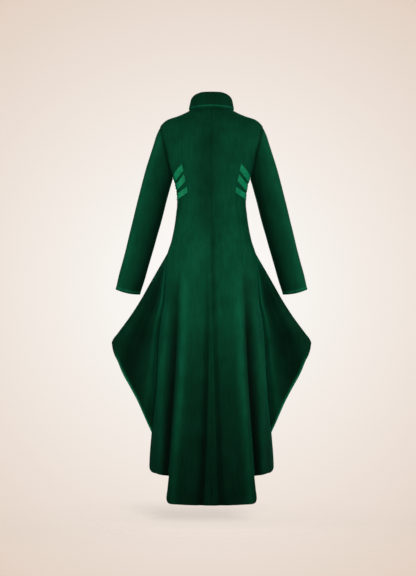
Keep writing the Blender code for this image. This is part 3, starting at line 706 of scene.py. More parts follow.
def coat_fold(turn, height, side):
    """The folds' rise as the painted shade and highlight follow it, on the back, side fold or front."""
    turn, height = one_shape(turn, height)
    sideways = ring_share(np.minimum(turn, QUARTER), body(height, "roundness"))[0]
    back = back_folds(np.abs(body(height, "half_width") * sideways), height, side)
    reach = ring_share(wing_share(turn) * QUARTER, WING_ROUNDNESS)[0]
    ridge, valley = ridge_and_valley(reach, RIDGE_PAINTED_HIGHLIGHT, VALLEY_PAINTED_SHADE)
    ridge = ridge * (1.0 - 0.6 * below(height, WING_RIDGE_HIGHLIGHT_FADE))
    wing = smooth_column(height, WING, "hollow") * (ridge - valley) * below(height, WING_FLARE)
    front_x = np.abs(front_point(np.maximum(turn, QUARTER), height)[0])
    return by_part(turn, back, wing, fold_sum(FRONT_FOLDS.values(), front_x, height))


def shade(height, name):
    """Strength of one of the painted shades over the coat's height."""
    strength, *spans = SHADES[name]
    return strength * below(height, spans[:2]) * (1.0 - below(height, spans[2:]))


def painted_shade_tone(turn, height, side):
    """Painted shade in the folds' hollows and painted highlight on their crowns.

    The tone grows as the exponential of the folds' rise. It is painted darker toward the
    hem, down the spine, on the back of the side fold, beside it and by the centre seam.
    """
    turn, height = one_shape(turn, height)
    folds = np.clip(np.exp(PAINTED_SHADE_IN_FOLDS * coat_fold(turn, height, side)), *PAINTED_LIGHT_RANGE)
    across = side * body(height, "half_width") * ring_share(np.minimum(turn, QUARTER), 2.2)[0]
    behind = turn < QUARTER + 0.02
    spine = shade(height, "spine") * bell(across - 0.014, 0.045) * (turn < QUARTER)
    on_fold = ease(wing_share(turn), 0.06, 0.24) * behind
    fold = (shade(height, "side_fold") + shade(height, "side_fold_top")) * on_fold
    beside = shade(height, "beside_fold") * ease(np.abs(across), 0.118, 0.150) * behind
    seam = shade(height, "centre_seam") * bell(across + 0.006, 0.007)
    seam = (seam + shade(height, "by_centre_seam") * bell(across + 0.008, 0.045)) * behind
    tone = folds * smooth_column(height, PAINTED_FALLOFF, "tone")
    return tone * (1.0 - spine) * (1.0 - fold) * (1.0 - beside) * (1.0 - seam)


def body_relief(turn, height, side):
    """Height of the soft creases over the coat's surface."""
    along_turn, _ = coat_slopes(turn, height, side)
    stretch = np.linalg.norm(along_turn, axis=-1)
    return crease_sum(CREASES, lambda middle: (turn - np.radians(middle)) * stretch, height, side)


def turn_at(x, height, back):
    """The turn at which a section is x from the centre."""
    if back:
        half_width = body(height, "half_width")
        roundness = body(height, "roundness")
    else:
        half_width, roundness, _ = front_shape(height)
    across = np.clip(x / half_width, 0.0, 1.0)
    along = (1.0 - across**roundness) ** (1.0 / roundness)
    turn = np.arctan2(across, along)
    return turn if back else np.pi - turn


def seam_turn(height, back):
    """The turn of the shaping seam that runs from the shoulder to the hem."""
    name = "back_x" if back else "front_x"
    turn = turn_at(smooth_column(height, SEAM, name), height, back)
    at_shoulder = ease(height, SHOULDER_SPLIT - 0.006, SHOULDER_SPLIT)
    return turn + (QUARTER - turn) * at_shoulder


def side_turn(height):
    """The turn of the side seam, which reaches the very side at the underarm."""
    rise = ease(height, UNDERARM - 0.07, UNDERARM)
    return SIDE_TURN + (QUARTER - SIDE_TURN) * rise


def armhole_turn(height, back):
    """The turn of the armhole's edge, whose ends both lie at the very side."""
    turn = turn_at(smooth_column(height, ARMHOLE, "x"), height, True)
    ends = (height > SHOULDER_TIP - 1e-6) | (height < UNDERARM + 1e-6)
    turn = np.where(ends, QUARTER, turn)
    return turn if back else np.pi - turn


def armhole_heights(rise):
    """Heights up the armhole: evenly spaced round a half circle, 0 at the underarm."""
    return ARMHOLE_MIDDLE - ARMHOLE_HALF * np.cos(np.pi * rise)


def armhole_place(angle):
    """Turn and height of the armhole's edge at an angle round the sleeve."""
    height = ARMHOLE_MIDDLE + ARMHOLE_HALF * np.cos(angle)
    behind = np.sin(angle) >= 0.0
    return np.where(behind, armhole_turn(height, True), armhole_turn(height, False)), height


def shoulder_heights(rise):
    """Heights up a shaping seam, from the underarm at 0 to the shoulder seam at 1."""
    share = 1.0 - (1.0 - rise) ** 2.2
    return UNDERARM + (SHOULDER_SPLIT - UNDERARM) * share


def edges_out(points, wrap):
    """Directions that leave the grid at its edge, zero inside it."""
    out = np.zeros_like(points)
    out[0] += unit(points[0] - points[1])
    out[-1] += unit(points[-1] - points[-2])
    if not wrap:
        out[:, 0] += unit(points[:, 0] - points[:, 1])
        out[:, -1] += unit(points[:, -1] - points[:, -2])
    return unit(out)


def edge_loops(rows, columns, wrap):
    """Grid positions round the edge, as one closed loop, or two on a tube."""
    place = np.arange(rows * columns).reshape(rows, columns)
    if wrap:
        return [place[0], place[-1][::-1]]
    parts = (place[0], place[1:, -1], place[-1, -2::-1], place[-2:0:-1, 0], place[:1, 0])
    return [np.concatenate(parts)]


def grid_quads(rows, columns):
    """Corners of the quads between a grid's neighbouring rows and columns."""
    place = np.arange(rows * columns).reshape(rows, columns)
    quads = np.stack([place[:-1, :-1], place[:-1, 1:], place[1:, 1:], place[1:, :-1]], axis=-1)
    return quads.reshape(-1, 4)


def ring_corners(rows, columns):
    """Numbers of a tube's points by row, each row ending with its first point again."""
    place = np.arange(rows * columns).reshape(rows, columns)
    return np.concatenate([place, place[:, :1]], axis=1).reshape(-1)


def strip_quads(near, far):
    """Quads between two lines of corners that run side by side."""
    return np.stack([near[1:], near[:-1], far[:-1], far[1:]], axis=-1)


def cloth_shell(name, middle, normal, plan, painted_light, materials, thick=CLOTH, wrap=False):
    """A wall of cloth on both sides of a grid of middle points.

    Both faces are the middle moved half the thickness along the normal. The edge is a
    half circle between them, and the grid's edge is drawn in by the edge's radius, so
    the half circle ends where the grid ended. plan holds the flat cloth's coordinates
    and painted_light the painted shade and highlight.
    """
    rows, columns = middle.shape[:2]
    wide = columns + wrap
    corner = ring_corners(rows, columns) if wrap else np.arange(rows * columns)
    out = edges_out(middle, wrap)
    half = np.broadcast_to(np.asarray(thick, float), middle.shape[:2])[..., None] / 2.0
    drawn_in = middle - out * EDGE_ROUND
    layers = [(drawn_in + normal * half).reshape(-1, 3), (drawn_in - normal * half).reshape(-1, 3)]
    painted_light = painted_light.reshape(-1)
    painted_tones = [painted_light, painted_light]
    count = rows * columns
    quads = grid_quads(rows, wide)
    corners = [corner[quads], corner[quads[:, ::-1]] + count]
    places = [quads, quads[:, ::-1]]
    total = 2 * count
    for loop in edge_loops(rows, wide, wrap):
        ring = corner[loop]
        before = ring
        for angle in (45.0, 0.0, -45.0):
            turn = np.radians(angle)
            points = middle - out * EDGE_ROUND * (1.0 - np.cos(turn)) + normal * half * np.sin(turn)
            layers.append(points.reshape(-1, 3)[ring[:-1]])
            painted_tones.append(painted_light[ring[:-1]])
            numbers = total + np.arange(len(ring) - 1)
            total += len(ring) - 1
            after = np.append(numbers, numbers[0])
            corners.append(strip_quads(before, after))
            places.append(strip_quads(loop, loop))
            before = after
        corners.append(strip_quads(before, ring + count))
        places.append(strip_quads(loop, loop))
    points = np.concatenate(layers)
    corners = np.concatenate(corners)
    places = np.concatenate(places)
    inner = np.arange(len(corners)) // len(quads) == 1
    row, column = rows // 2, columns // 2
    start, ahead, aside, _ = points[corners[row * (wide - 1) + column]]
    if np.dot(np.cross(ahead - start, aside - ahead), normal[row, column]) < 0.0:
        corners = corners[:, ::-1]
        places = places[:, ::-1]
    made = make_piece(name, points, corners, plan.reshape(-1, 2)[places], materials, inner)
    write_painted_light(made, np.concatenate(painted_tones))
    return made


def write_painted_light(piece, painted_tones):
    """Store the painted shade and highlight at every point of a piece."""
    pile_and_painted_light = piece.data.attributes.new("painted_light", "FLOAT", "POINT")
    pile_and_painted_light.data.foreach_set("value", np.ascontiguousarray(painted_tones, np.float32))


def add_object(name, data, place=(0.0, 0.0, 0.0)):
    """An object in the scene, untransformed unless a place is given."""
    made = bpy.data.objects.new(name, data)
    made.location = place
    bpy.context.scene.collection.objects.link(made)
    return made


def make_piece(name, points, corners, plan, materials, second=None):
    """A mesh from points and quads, with its flat coordinates and its materials."""
    mesh = bpy.data.meshes.new(name)
    mesh.vertices.add(len(points))
    mesh.vertices.foreach_set("co", np.ascontiguousarray(points, np.float32).ravel())
    mesh.loops.add(corners.size)
    mesh.loops.foreach_set("vertex_index", np.ascontiguousarray(corners, np.int32).ravel())
    mesh.polygons.add(len(corners))
    mesh.polygons.foreach_set("loop_start", np.arange(len(corners), dtype=np.int32) * corners.shape[1])
    mesh.update(calc_edges=True)
    cut = mesh.uv_layers.new(name="cut")
    cut.data.foreach_set("uv", np.ascontiguousarray(plan, np.float32).ravel())
    for material in materials:
        mesh.materials.append(material)
    if second is not None and len(materials) > 1:
        mesh.polygons.foreach_set("material_index", second.astype(np.int32))
    mesh.shade_smooth()
    mesh.validate()
    return add_object(name, mesh)


def eased(count):
    """Shares from 0 to 1, closer together near both ends."""
    share = shares(count)
    return 0.6 * share + 0.4 * (0.5 - 0.5 * np.cos(np.pi * share))


def inset(turn, height, side, left, right):
    """Move the first and last columns in by half a seam gap, a little more by the shoulder."""
    along_turn, _ = coat_slopes(turn, height, side)
    gap = SEAM_GAP * (1.0 + ease(height, -0.080, -0.040))
    shift = 0.5 * gap / np.linalg.norm(along_turn, axis=-1)
    turn = turn.copy()
    turn[:, 0] += left * shift[:, 0]
    turn[:, -1] -= right * shift[:, -1]
    return turn


def inset_top(turn, height, side, toward, corner):
    """Move the last row off the shoulder seam and its corner column off the shaping seam."""
    aside = np.full(turn.shape[1], QUARTER)
    along_turn, along_height = coat_slopes(aside, height[-1], side)
    turn = turn.copy()
    height = height.copy()
    turn[-1] = aside + toward * 0.5 * SEAM_GAP / np.linalg.norm(along_turn, axis=-1)
    height[-1, corner] -= 0.5 * SEAM_GAP / np.linalg.norm(along_height[corner])
    return turn, height


def quarter_ellipse(place, start):
    """How a hem's rounded corner rises, from 0 at the start to 1 at place 1."""
    corner = np.clip((place - start) / (1.0 - start), 0.0, 1.0)
    return 1.0 - np.sqrt(1.0 - corner**2)


def side_corner(turn, share):
    """How far the side back's hem rises toward the side seam, ending in a rounded corner."""
    across = ring_share(turn, 2.3)[0] / ring_share(SIDE_TURN, 2.3)[0]
    return 0.007 * ease(share, 0.0, 0.5) + SIDE_CORNER_RISE * quarter_ellipse(across, SIDE_CORNER_START)


def bend_to_hem(height, hem, reach):
    """Bend the rows within reach of the lowest one, so that the lowest follows the hem."""
    fade = np.clip(1.0 - (height[:, :1] - height[0, 0]) / reach, 0.0, 1.0)
    return height + fade * (hem - height[0])[None, :]


def walk(points, axis):
    """Distance walked over the cloth from the grid's first line, along one axis."""
    steps = np.linalg.norm(np.diff(points, axis=axis), axis=-1)
    start = np.zeros_like(np.take(steps, [0], axis=axis))
    return np.concatenate([start, np.cumsum(steps, axis=axis)], axis=axis)


def pucker(down, phase):
    """Uneven small waves along a seam, the sum of three waves of unlike length."""
    return (np.sin(down / 0.0061 + phase) + 0.8 * np.sin(down / 0.0097 + 2.1 * phase)
            + 0.6 * np.sin(down / 0.0163 + 3.7 * phase)) / 2.4


def seam_relief(points, seams, phase):
    """A narrow dip along each seamed edge with small puckers beside it."""
    across = walk(points, 1)
    down = points[..., 2]
    total = np.zeros(across.shape)
    for seamed, distance in zip(seams, (across, across[:, -1:] - across)):
        dip = -SEAM_DIP * bell(distance, SEAM_DIP_BREADTH)
        wave = PUCKER * pucker(down, phase) * bell(distance - 0.005, 0.006)
        total = total + seamed * (dip + wave)
    return total


def seam_shade(points, seams, arms, height):
    """Painted shade in the dip along each seamed edge.

    Beside the armhole the painted shade is broader, most of all toward the underarm. seams
    and arms give the strength of both painted shades at the first and at the last column.
    """
    across = walk(points, 1)
    near_arm = ease(height, UNDERARM - 0.02, UNDERARM + 0.02)
    near_arm = near_arm * (1.0 - ease(height, SHOULDER_TIP, SHOULDER_SPLIT))
    breadth = 0.011 + 0.015 * below(height, (0.11, 0.18))
    dark = np.ones(across.shape)
    for seamed, arm, distance in zip(seams, arms, (across, across[:, -1:] - across)):
        dark = dark - PAINTED_SHADE_ON_SEAM * seamed * bell(distance, SEAM_DIP_BREADTH)
        beside = PAINTED_SHADE_BY_ARMHOLE * bell(distance, breadth) + PAINTED_SHADE_AT_ARMHOLE * bell(distance, 0.005)
        dark = dark - arm * near_arm * beside
    return np.maximum(dark, PAINTED_LIGHT_LOWEST)


def hem_turn(height, hem):
    """1 within the turned hem, 0 above it."""
    return 1.0 - ease(height - hem, HEM_DEPTH * 0.85, HEM_DEPTH)


def cloth_panel(kind, side, turn, height, materials, sink=0.0, hem_highlight=0.0, edge_highlight=0.0):
    """A panel on the coat's surface: coat_point moved out by the creases and seam dips."""
    seams, arms, phase = PANEL_EDGES[kind]
    normal = coat_normal(turn, height, side)
    base = coat_point(turn, height, side)
    relief = body_relief(turn, height, side) + seam_relief(base, seams, phase + side)
    turned = hem_turn(height, height[:1])
    relief = relief + turned * HEM_RISE
    middle = moved(base, normal, relief - sink - CLOTH / 2.0)
    across = walk(base, 1)
    # Painted shade in the folds, down the coat, in the seam dips and by the armhole, with painted
    # highlights along the hem and the front edge.
    painted_light = painted_shade_tone(turn, height, side) * seam_shade(base, seams, arms, height)
    painted_light = painted_light + hem_highlight * bell(walk(base, 0), HEM_HIGHLIGHT_BREADTH)
    painted_light = painted_light + edge_highlight * bell(across[:, -1:] - across, EDGE_HIGHLIGHT_BREADTH)
    return cloth_shell(f"velvet_{kind}_{LABELS[side]}", middle, normal, joined(across, height), painted_light,
                       materials, CLOTH + turned * HEM_RISE)


def between(left, right, share):
    """Each row's values, going evenly from the left edge's to the right edge's."""
    return left[:, None] + (right - left)[:, None] * share


def rows_to_neck(hem, back, low_count, top_count, neck_count):
    """Heights from a hem to the neck, and the shaping seam's turn at each of them.

    They are even up to the underarm. Above the shoulder seam the turn is the very side.
    """
    low = np.linspace(hem, UNDERARM, low_count)
    top = shoulder_heights(shares(top_count)[1:])
    neck = np.linspace(SHOULDER_SPLIT, NECK_HEIGHT - 0.5 * SEAM_GAP, neck_count)[1:]
    rows = np.concatenate([low, top, neck])
    return rows, np.where(rows <= SHOULDER_SPLIT, seam_turn(rows, back), QUARTER)


def make_back(side, materials):
    """The centre back panel, from the hem to the neck and the shoulder seam.

    Rows run level, and columns share the turn from the centre back to the shaping seam.
    """
    share = eased(68)
    rows, seam = rows_to_neck(BACK_HEM, True, 300, 56, 11)
    height = np.repeat(rows[:, None], len(share), axis=1)
    hem = BACK_HEM + BACK_HEM_SWEEP * share**2
    hem = hem + BACK_CORNER_RISE * quarter_ellipse(share, BACK_CORNER_START)
    height = bend_to_hem(height, hem, SIDE_BACK_HEM - BACK_HEM)
    turn = inset(share[None, :] * seam[:, None], height, side, 1.0, 1.0)
    return cloth_panel("back", side, turn, height, materials)


def make_side_back(side, materials):
    """The side back panel, from its own shorter hem to the armhole and the shoulder.

    Rows join a height on the shaping seam to one on the side seam or the armhole.
    """
    share = eased(60)
    low = np.linspace(SIDE_BACK_HEM, UNDERARM, 275)
    rise = shares(56)[1:]
    left_height = np.concatenate([low, shoulder_heights(rise)])
    right_height = np.concatenate([low, armhole_heights(rise)])
    right = np.concatenate([side_turn(low), armhole_turn(armhole_heights(rise), True)])
    height = between(left_height, right_height, share)
    turn = between(seam_turn(left_height, True), right, share)
    hem = SIDE_BACK_HEM + side_corner(turn[0], share)
    height = bend_to_hem(height, hem, SIDE_HEM - SIDE_BACK_HEM)
    turn = inset(turn, height, side, 1.0, 1.0)
    turn, height = inset_top(turn, height, side, -1.0, 0)
    return cloth_panel("side_back", side, turn, height, materials)


def spread(share, first, last, height):
    """Turns from first to last, with more of them on the back of the side fold."""
    natural = np.clip((QUARTER - first) / np.maximum(last - first, 1e-6), 0.0, 1.0)
    edge = natural + (WING_SHARE - natural) * below(height, WING_CROWDING)
    near = first + (QUARTER - first) * share / np.maximum(edge, 1e-6)
    far = QUARTER + (last - QUARTER) * (share - edge) / (1.0 - edge)
    plain = first + (last - first) * share
    bent = np.where(share < edge, near, far)
    return np.where(first >= QUARTER - 1e-9, plain, bent)


def make_side_front(side, materials):
    """The side front panel, which carries the skirt's side fold and its slanting hem.

    Rows join the side seam to the front shaping seam, and bend down to the slanting
    hem; the columns crowd on the back face of the side fold.
    """
    near = np.linspace(0.0, WING_SHARE, 58)
    share = np.concatenate([near, np.linspace(WING_SHARE, 1.0, 60)[1:]])
    low = shares(200)
    rise = shares(50)[1:]
    left_low = np.interp(low, (0.0, 13.0 / 24.0, 1.0), (SIDE_HEM, FLARE_START, UNDERARM))
    right_low = FRONT_HEM + (UNDERARM - FRONT_HEM) * low
    left_height = np.concatenate([left_low, armhole_heights(rise)])
    right_height = np.concatenate([right_low, shoulder_heights(rise)])
    left = np.concatenate([side_turn(left_low), armhole_turn(armhole_heights(rise), False)])
    right = seam_turn(right_height, False)
    height = between(left_height, right_height, share)
    slant = smooth_column(share / WING_SHARE, WING_HEM, "height")
    edge_hem = WING_HEM["height"][-1]
    level = edge_hem + (FRONT_HEM - edge_hem) * (share - WING_SHARE) / (1.0 - WING_SHARE)
    hem = np.where(share < WING_SHARE, slant, level)
    fade = np.concatenate([(1.0 - low) ** 1.6, np.zeros(len(rise))])
    height = height + fade[:, None] * (hem - height[0])[None, :]
    turn = spread(share[None, :], left[:, None], right[:, None], height)
    turn = inset(turn, height, side, 1.0, 1.0)
    turn, height = inset_top(turn, height, side, 1.0, -1)
    # Painted highlight along the turned hem, from the side seam, fading before the fold's edge.
    hem_highlight = WING_HEM_PAINTED_HIGHLIGHT * (1.0 - ease(share / WING_SHARE, 0.30, 0.60))
    return cloth_panel("side_front", side, turn, height, materials, hem_highlight=hem_highlight)


def make_front(side, materials):
    """The front panel; the left one passes under the right one at the centre.

    Columns run from the shaping seam to just short of the overlap, and over it past
    the centre front.
    """
    rows, seam = rows_to_neck(FRONT_HEM, False, 150, 50, 9)
    near = turn_at(OVERLAP + 0.020, rows, False)
    mid = turn_at(OVERLAP + 0.005, rows, False)
    past = 2.0 * np.pi - turn_at(OVERLAP, rows, False)
    knots = np.stack([seam, near, mid, np.full(len(rows), np.pi), past], axis=1)
    place = np.concatenate([eased(28), np.linspace(1.0, 2.0, 6)[1:], np.linspace(2.0, 4.0, 17)[1:]])
    whole = np.minimum(place.astype(int), 3)
    part = place - whole
    turn = knots[:, whole] * (1.0 - part) + knots[:, whole + 1] * part
    height = np.repeat(rows[:, None], turn.shape[1], axis=1)
    turn = inset(turn, height, side, 1.0, 0.0)
    sink = ease(place, 1.0, 2.0) * (CLOTH + OVERLAP_GAP) * (side > 0)
    sink = np.broadcast_to(sink, height.shape)
    return cloth_panel("front", side, turn, height, materials, sink=sink, edge_highlight=FRONT_EDGE_PAINTED_HIGHLIGHT)


def sleeve_oval(values, angle, side):
    """A point of an oval through its outer and inner points, as deep as half_depth says."""
    outer_x, inner_x, outer_z, inner_z, centre_y, half_depth = values
    x = (outer_x + inner_x) / 2.0 + (outer_x - inner_x) / 2.0 * np.cos(angle)
    y = centre_y + half_depth * np.sin(angle)
    z = (outer_z + inner_z) / 2.0 + (outer_z - inner_z) / 2.0 * np.cos(angle)
    return joined(side * x, y, z)


def sleeve_surface(ring, angle, side):
    """A point of the sleeve: ovals down the arm, drawn to the armhole over the first rings."""
    ring, angle = one_shape(ring, angle)
    names = ("outer_x", "inner_x", "outer_z", "inner_z", "centre_y", "half_depth")
    here = sleeve_oval([smooth_column(ring, SLEEVE, name) for name in names], angle, side)
    here[..., 2] -= np.interp(ring, (11.0, 12.0, 13.0), (0.0, 0.0015, 0.0050)) * np.sin(angle) ** 2
    first = sleeve_oval([SLEEVE[name][0] for name in names], angle, side)
    fade = np.clip(1.0 - ring / 5.0, 0.0, 1.0) ** 1.4
    return here + fade[..., None] * (coat_point(*armhole_place(angle), side) - first)


def make_sleeve(side, materials):
    """A one-piece sleeve, open at the armhole and at the cuff.

    Rings of points run down the arm, after one that is tucked inside the armhole. The
    relief adds the soft creases, the dip of the armhole seam, the long seam under the arm
    and the groove of the cuff's stitching.
    """
    ring = np.linspace(0.0, 13.0, 156)[:, None]
    angle = angles(104)[None, :]
    surface = sleeve_surface(ring, angle, side)
    around = np.roll(surface, -1, axis=1) - np.roll(surface, 1, axis=1)
    down = np.gradient(surface, axis=0)
    normal = unit(side * np.cross(down, around))
    body_normal = coat_normal(*armhole_place(angle[0]), side)
    at_tip = ease(np.cos(angle), 0.0, 0.8) * (1.0 - ease(ring, 0.0, 0.5))
    normal = unit(normal * (1.0 - at_tip[..., None]) + body_normal[None] * at_tip[..., None])
    walked = walk(surface, 0)
    left = walked[-1:] - walked

    def across(middle):
        turned = np.mod(angle - np.radians(middle) + np.pi, 2.0 * np.pi) - np.pi
        return turned * np.linalg.norm(around, axis=-1) / (2.0 * angle[0, 1])

    relief = crease_sum(SLEEVE_CREASES, across, walked, side)
    relief = relief - SEAM_DIP * bell(walked, SEAM_DIP_BREADTH)
    relief = relief - 0.6 * SEAM_DIP * bell(across(180.0), 0.002)
    relief = relief - CUFF_GROOVE * bell(left - CUFF_STITCH_RISE, 0.0016)
    turned = 1.0 - ease(left, CUFF_STITCH_RISE, CUFF_STITCH_RISE + CUFF_STEP)
    relief = relief + turned * HEM_RISE
    middle = moved(surface, normal, relief - CLOTH / 2.0)
    tucked = middle[0] - body_normal * SLEEVE_TUCK_DEPTH + unit(middle[0] - middle[3]) * SLEEVE_TUCK
    middle = np.concatenate([tucked[None], middle])
    surface = np.concatenate([tucked[None], surface])
    walked = np.concatenate([walked[:1] - SLEEVE_TUCK, walked])
    left = np.concatenate([left[:1] + SLEEVE_TUCK, left])
    normal, turned, around = (np.concatenate([grid[:1], grid]) for grid in (normal, turned, around))
    closed = np.concatenate([angle, angle[:, :1] + 2.0 * np.pi], axis=1)
    girth = np.mean(np.linalg.norm(around, axis=-1), axis=1)[:, None]
    plan_across = closed * girth / (2.0 * angle[0, 1])
    plan = joined(plan_across, np.concatenate([walked, walked[:, :1]], axis=1))
    # Painted light and shade round the sleeve, painted shade at its top by the armhole, and painted
    # highlights at the cuff.
    painted_light = smooth_column(0.5 - 0.5 * np.cos(angle), SLEEVE_PAINTED_LIGHT, "tone")
    painted_light = np.maximum(painted_light * (1.0 - PAINTED_SHADE_AT_SLEEVE_TOP * bell(walked, 0.012)), PAINTED_LIGHT_LOWEST)
    painted_light = painted_light + CUFF_PAINTED_HIGHLIGHT * bell(left - CUFF_STITCH_RISE + CUFF_STEP, CUFF_STEP)
    painted_light = painted_light + CUFF_EDGE_PAINTED_HIGHLIGHT * bell(left, 0.002)
    piece = cloth_shell(f"velvet_sleeve_{LABELS[side]}", middle, normal, plan, painted_light, materials,
                        CLOTH + turned * HEM_RISE, wrap=True)
    stitch_row = int(np.argmin(np.abs(np.mean(left, axis=1) - CUFF_STITCH_RISE)))
    line = surface[stitch_row] + normal[stitch_row] * 0.0002
    return piece, line, normal[stitch_row]


def collar_point(turn, reach, height):
    """A point of an oval ring around the neck, reach outside the neck's own oval."""
    x_share, y_share = ring_share(turn, 2.0)
    return joined((NECK_HALF_WIDTH + reach) * x_share, (NECK_HALF_DEPTH + reach) * y_share, height)


def collar_height(turn, name):
    """Height of the collar's top roll or lower edge, alike on both sides."""
    return smooth_column(np.degrees(np.abs(turn)), COLLAR, name)


def grid_normal(points, sign):
    """Unit normals of a grid from its slopes along both axes."""
    return unit(sign * np.cross(np.gradient(points, axis=0), np.gradient(points, axis=1)))


def make_collar_stand(materials):
    """The upright band of the collar: an oval ring that narrows upward, open in front.

    Its lower edge is tucked inside the neck, as it is when sewn.
    """
    turn = np.linspace(-COLLAR_END, COLLAR_END, 181)[None, :]
    rise = shares(16)[:, None]
    low = NECK_HEIGHT + row_lift(turn, np.full_like(turn, NECK_HEIGHT)) + 2.0 * SEAM_GAP
    low = low + STAND_FRONT_LIFT * ease(np.abs(turn), 2.5, 2.8) - STAND_TUCK
    top = collar_height(turn, "top") - CLOTH
    reach = np.interp(rise, *STAND_SECTION)
    middle = collar_point(turn, reach, low + rise * (top - low))
    plan = joined(walk(middle, 1), walk(middle, 0))
    # An even painted shade over the band, which lies under the turned-down part.
    painted_light = np.full(middle.shape[:2], 0.6)
    return cloth_shell("velvet_collar_stand", middle, grid_normal(middle, -1.0), plan, painted_light, materials)


def make_collar_fall(materials):
    """The turned-down part of the collar, a rolled section carried round the neck.

    The section rises over the stand's top, turns over and hangs to the lower edge,
    where a narrow stitched border stands a little proud.
    """
    turn = np.linspace(-COLLAR_END, COLLAR_END, 181)[None, :]
    along = np.concatenate([np.linspace(0.0, 0.3, 12), np.linspace(0.3, 1.0, 22)[1:]])[:, None]
    top = collar_height(turn, "top")
    edge = collar_height(turn, "edge")
    down = smooth_column(along, FALL, "down")
    rise = smooth_column(along, FALL, "rise")
    reach = smooth_column(along, FALL, "reach")
    reach = reach * (1.0 - 0.15 * np.sin(turn) ** 2 * ease(along, 0.3, 1.0))
    sway = 0.0006 * np.sin(5.0 * turn + 0.8) * ease(along, 0.3, 1.0)
    height = top + (edge - top) * down + rise
    middle = collar_point(turn, reach + sway, height)
    normal = grid_normal(middle, 1.0)
    walked = walk(middle, 0)
    left = walked[-1:] - walked
    border = 1.0 - ease(left, 0.0035, COLLAR_BORDER)
    groove = bell(left - COLLAR_BORDER, 0.0012)
    middle = moved(middle, normal, 0.0003 * border - 0.0004 * groove)
    plan = joined(walk(middle, 1), walk(middle, 0))
    # Painted shade over the collar, deepest at the centre back, and a painted highlight along its lower
    # edge.
    painted_light = 0.49 - 0.12 * np.cos(turn) ** 8 + COLLAR_EDGE_PAINTED_HIGHLIGHT * bell(left, 0.0030)
    thick = CLOTH + 0.0002 * border
    return cloth_shell("velvet_collar_fall", middle, normal, plan, painted_light, materials, thick)


def band_place(index, ways, share):
    """Turns and heights of a side band, ways -0.5 to 0.5 up it and share 0 to 1 along it.

    Round the back its middle line falls evenly with the distance from the centre. Under
    the arm its upper edge keeps below the armhole.
    """
    row = (values[index] for values in BANDS.values())
    upper_x, lower_x, back, slope, front, tall_back, tall_side = row
    end_x = lower_x + (upper_x - lower_x) * (ways + 0.5)
    first = turn_at(end_x, back, True) + 0.004
    last = seam_turn(np.array([front]), False)[0]
    turn = first + (last - first) * share
    middle_x = 0.5 * (upper_x + lower_x)
    level = back + 0.6 * slope * (body(back, "half_width") - middle_x)
    reach = body(level, "half_width")
    across = reach * ring_share(np.minimum(turn, QUARTER), body(level, "roundness"))[0]
    beyond = np.clip((turn - QUARTER) / (last - QUARTER), 0.0, 1.0)
    at_side = back + slope * (reach - middle_x)
    line = back + slope * (across - middle_x) + (front - at_side) * beyond**1.5
    near_side = ease(turn, first, QUARTER)
    height = line + ways * (tall_back + (tall_side - tall_back) * near_side)
    below_arm = UNDERARM - 0.0035 + 0.005 * np.abs((turn - QUARTER) / np.radians(15.0)) ** 3
    return turn, np.minimum(height, below_arm)


def make_band(index, side, materials):
    """A satin band laid over the side, with a stitched edge along both its sides.

    Its middle line falls round the back and levels out toward the front; both long
    edges are a little thicker, where the satin is turned in.
    """
    ways = np.linspace(-0.5, 0.5, 17)[:, None]
    turn, height = band_place(index, ways, shares(110))
    normal = coat_normal(turn, height, side)
    base = coat_point(turn, height, side)
    walked = walk(base, 1)
    risen = walk(base, 0)
    inside = np.minimum(risen, risen[-1:] - risen)
    edge = bell(inside - 0.0012, 0.0010)
    groove = bell(inside - 0.0032, 0.0008)
    ripple = 0.00015 * np.sin(walked / 0.0035 + 7.0 * ways + index)
    lift = BAND_LIFT + BAND_THICK / 2.0 + 0.00030 * edge - 0.00025 * groove + ripple
    middle = moved(base, normal, lift + 0.5 * body_relief(turn, height, side))
    plan = joined(walked, risen)
    # Painted sheen: the satin lighter toward the side and the front.
    painted_light = 1.0 + SATIN_PAINTED_SHEEN_AT_SIDE * ease(turn, 0.75, 1.35)
    name = f"satin_band_{LABELS[side]}_{index + 1}"
    return cloth_shell(name, middle, normal, plan, painted_light, materials, BAND_THICK)


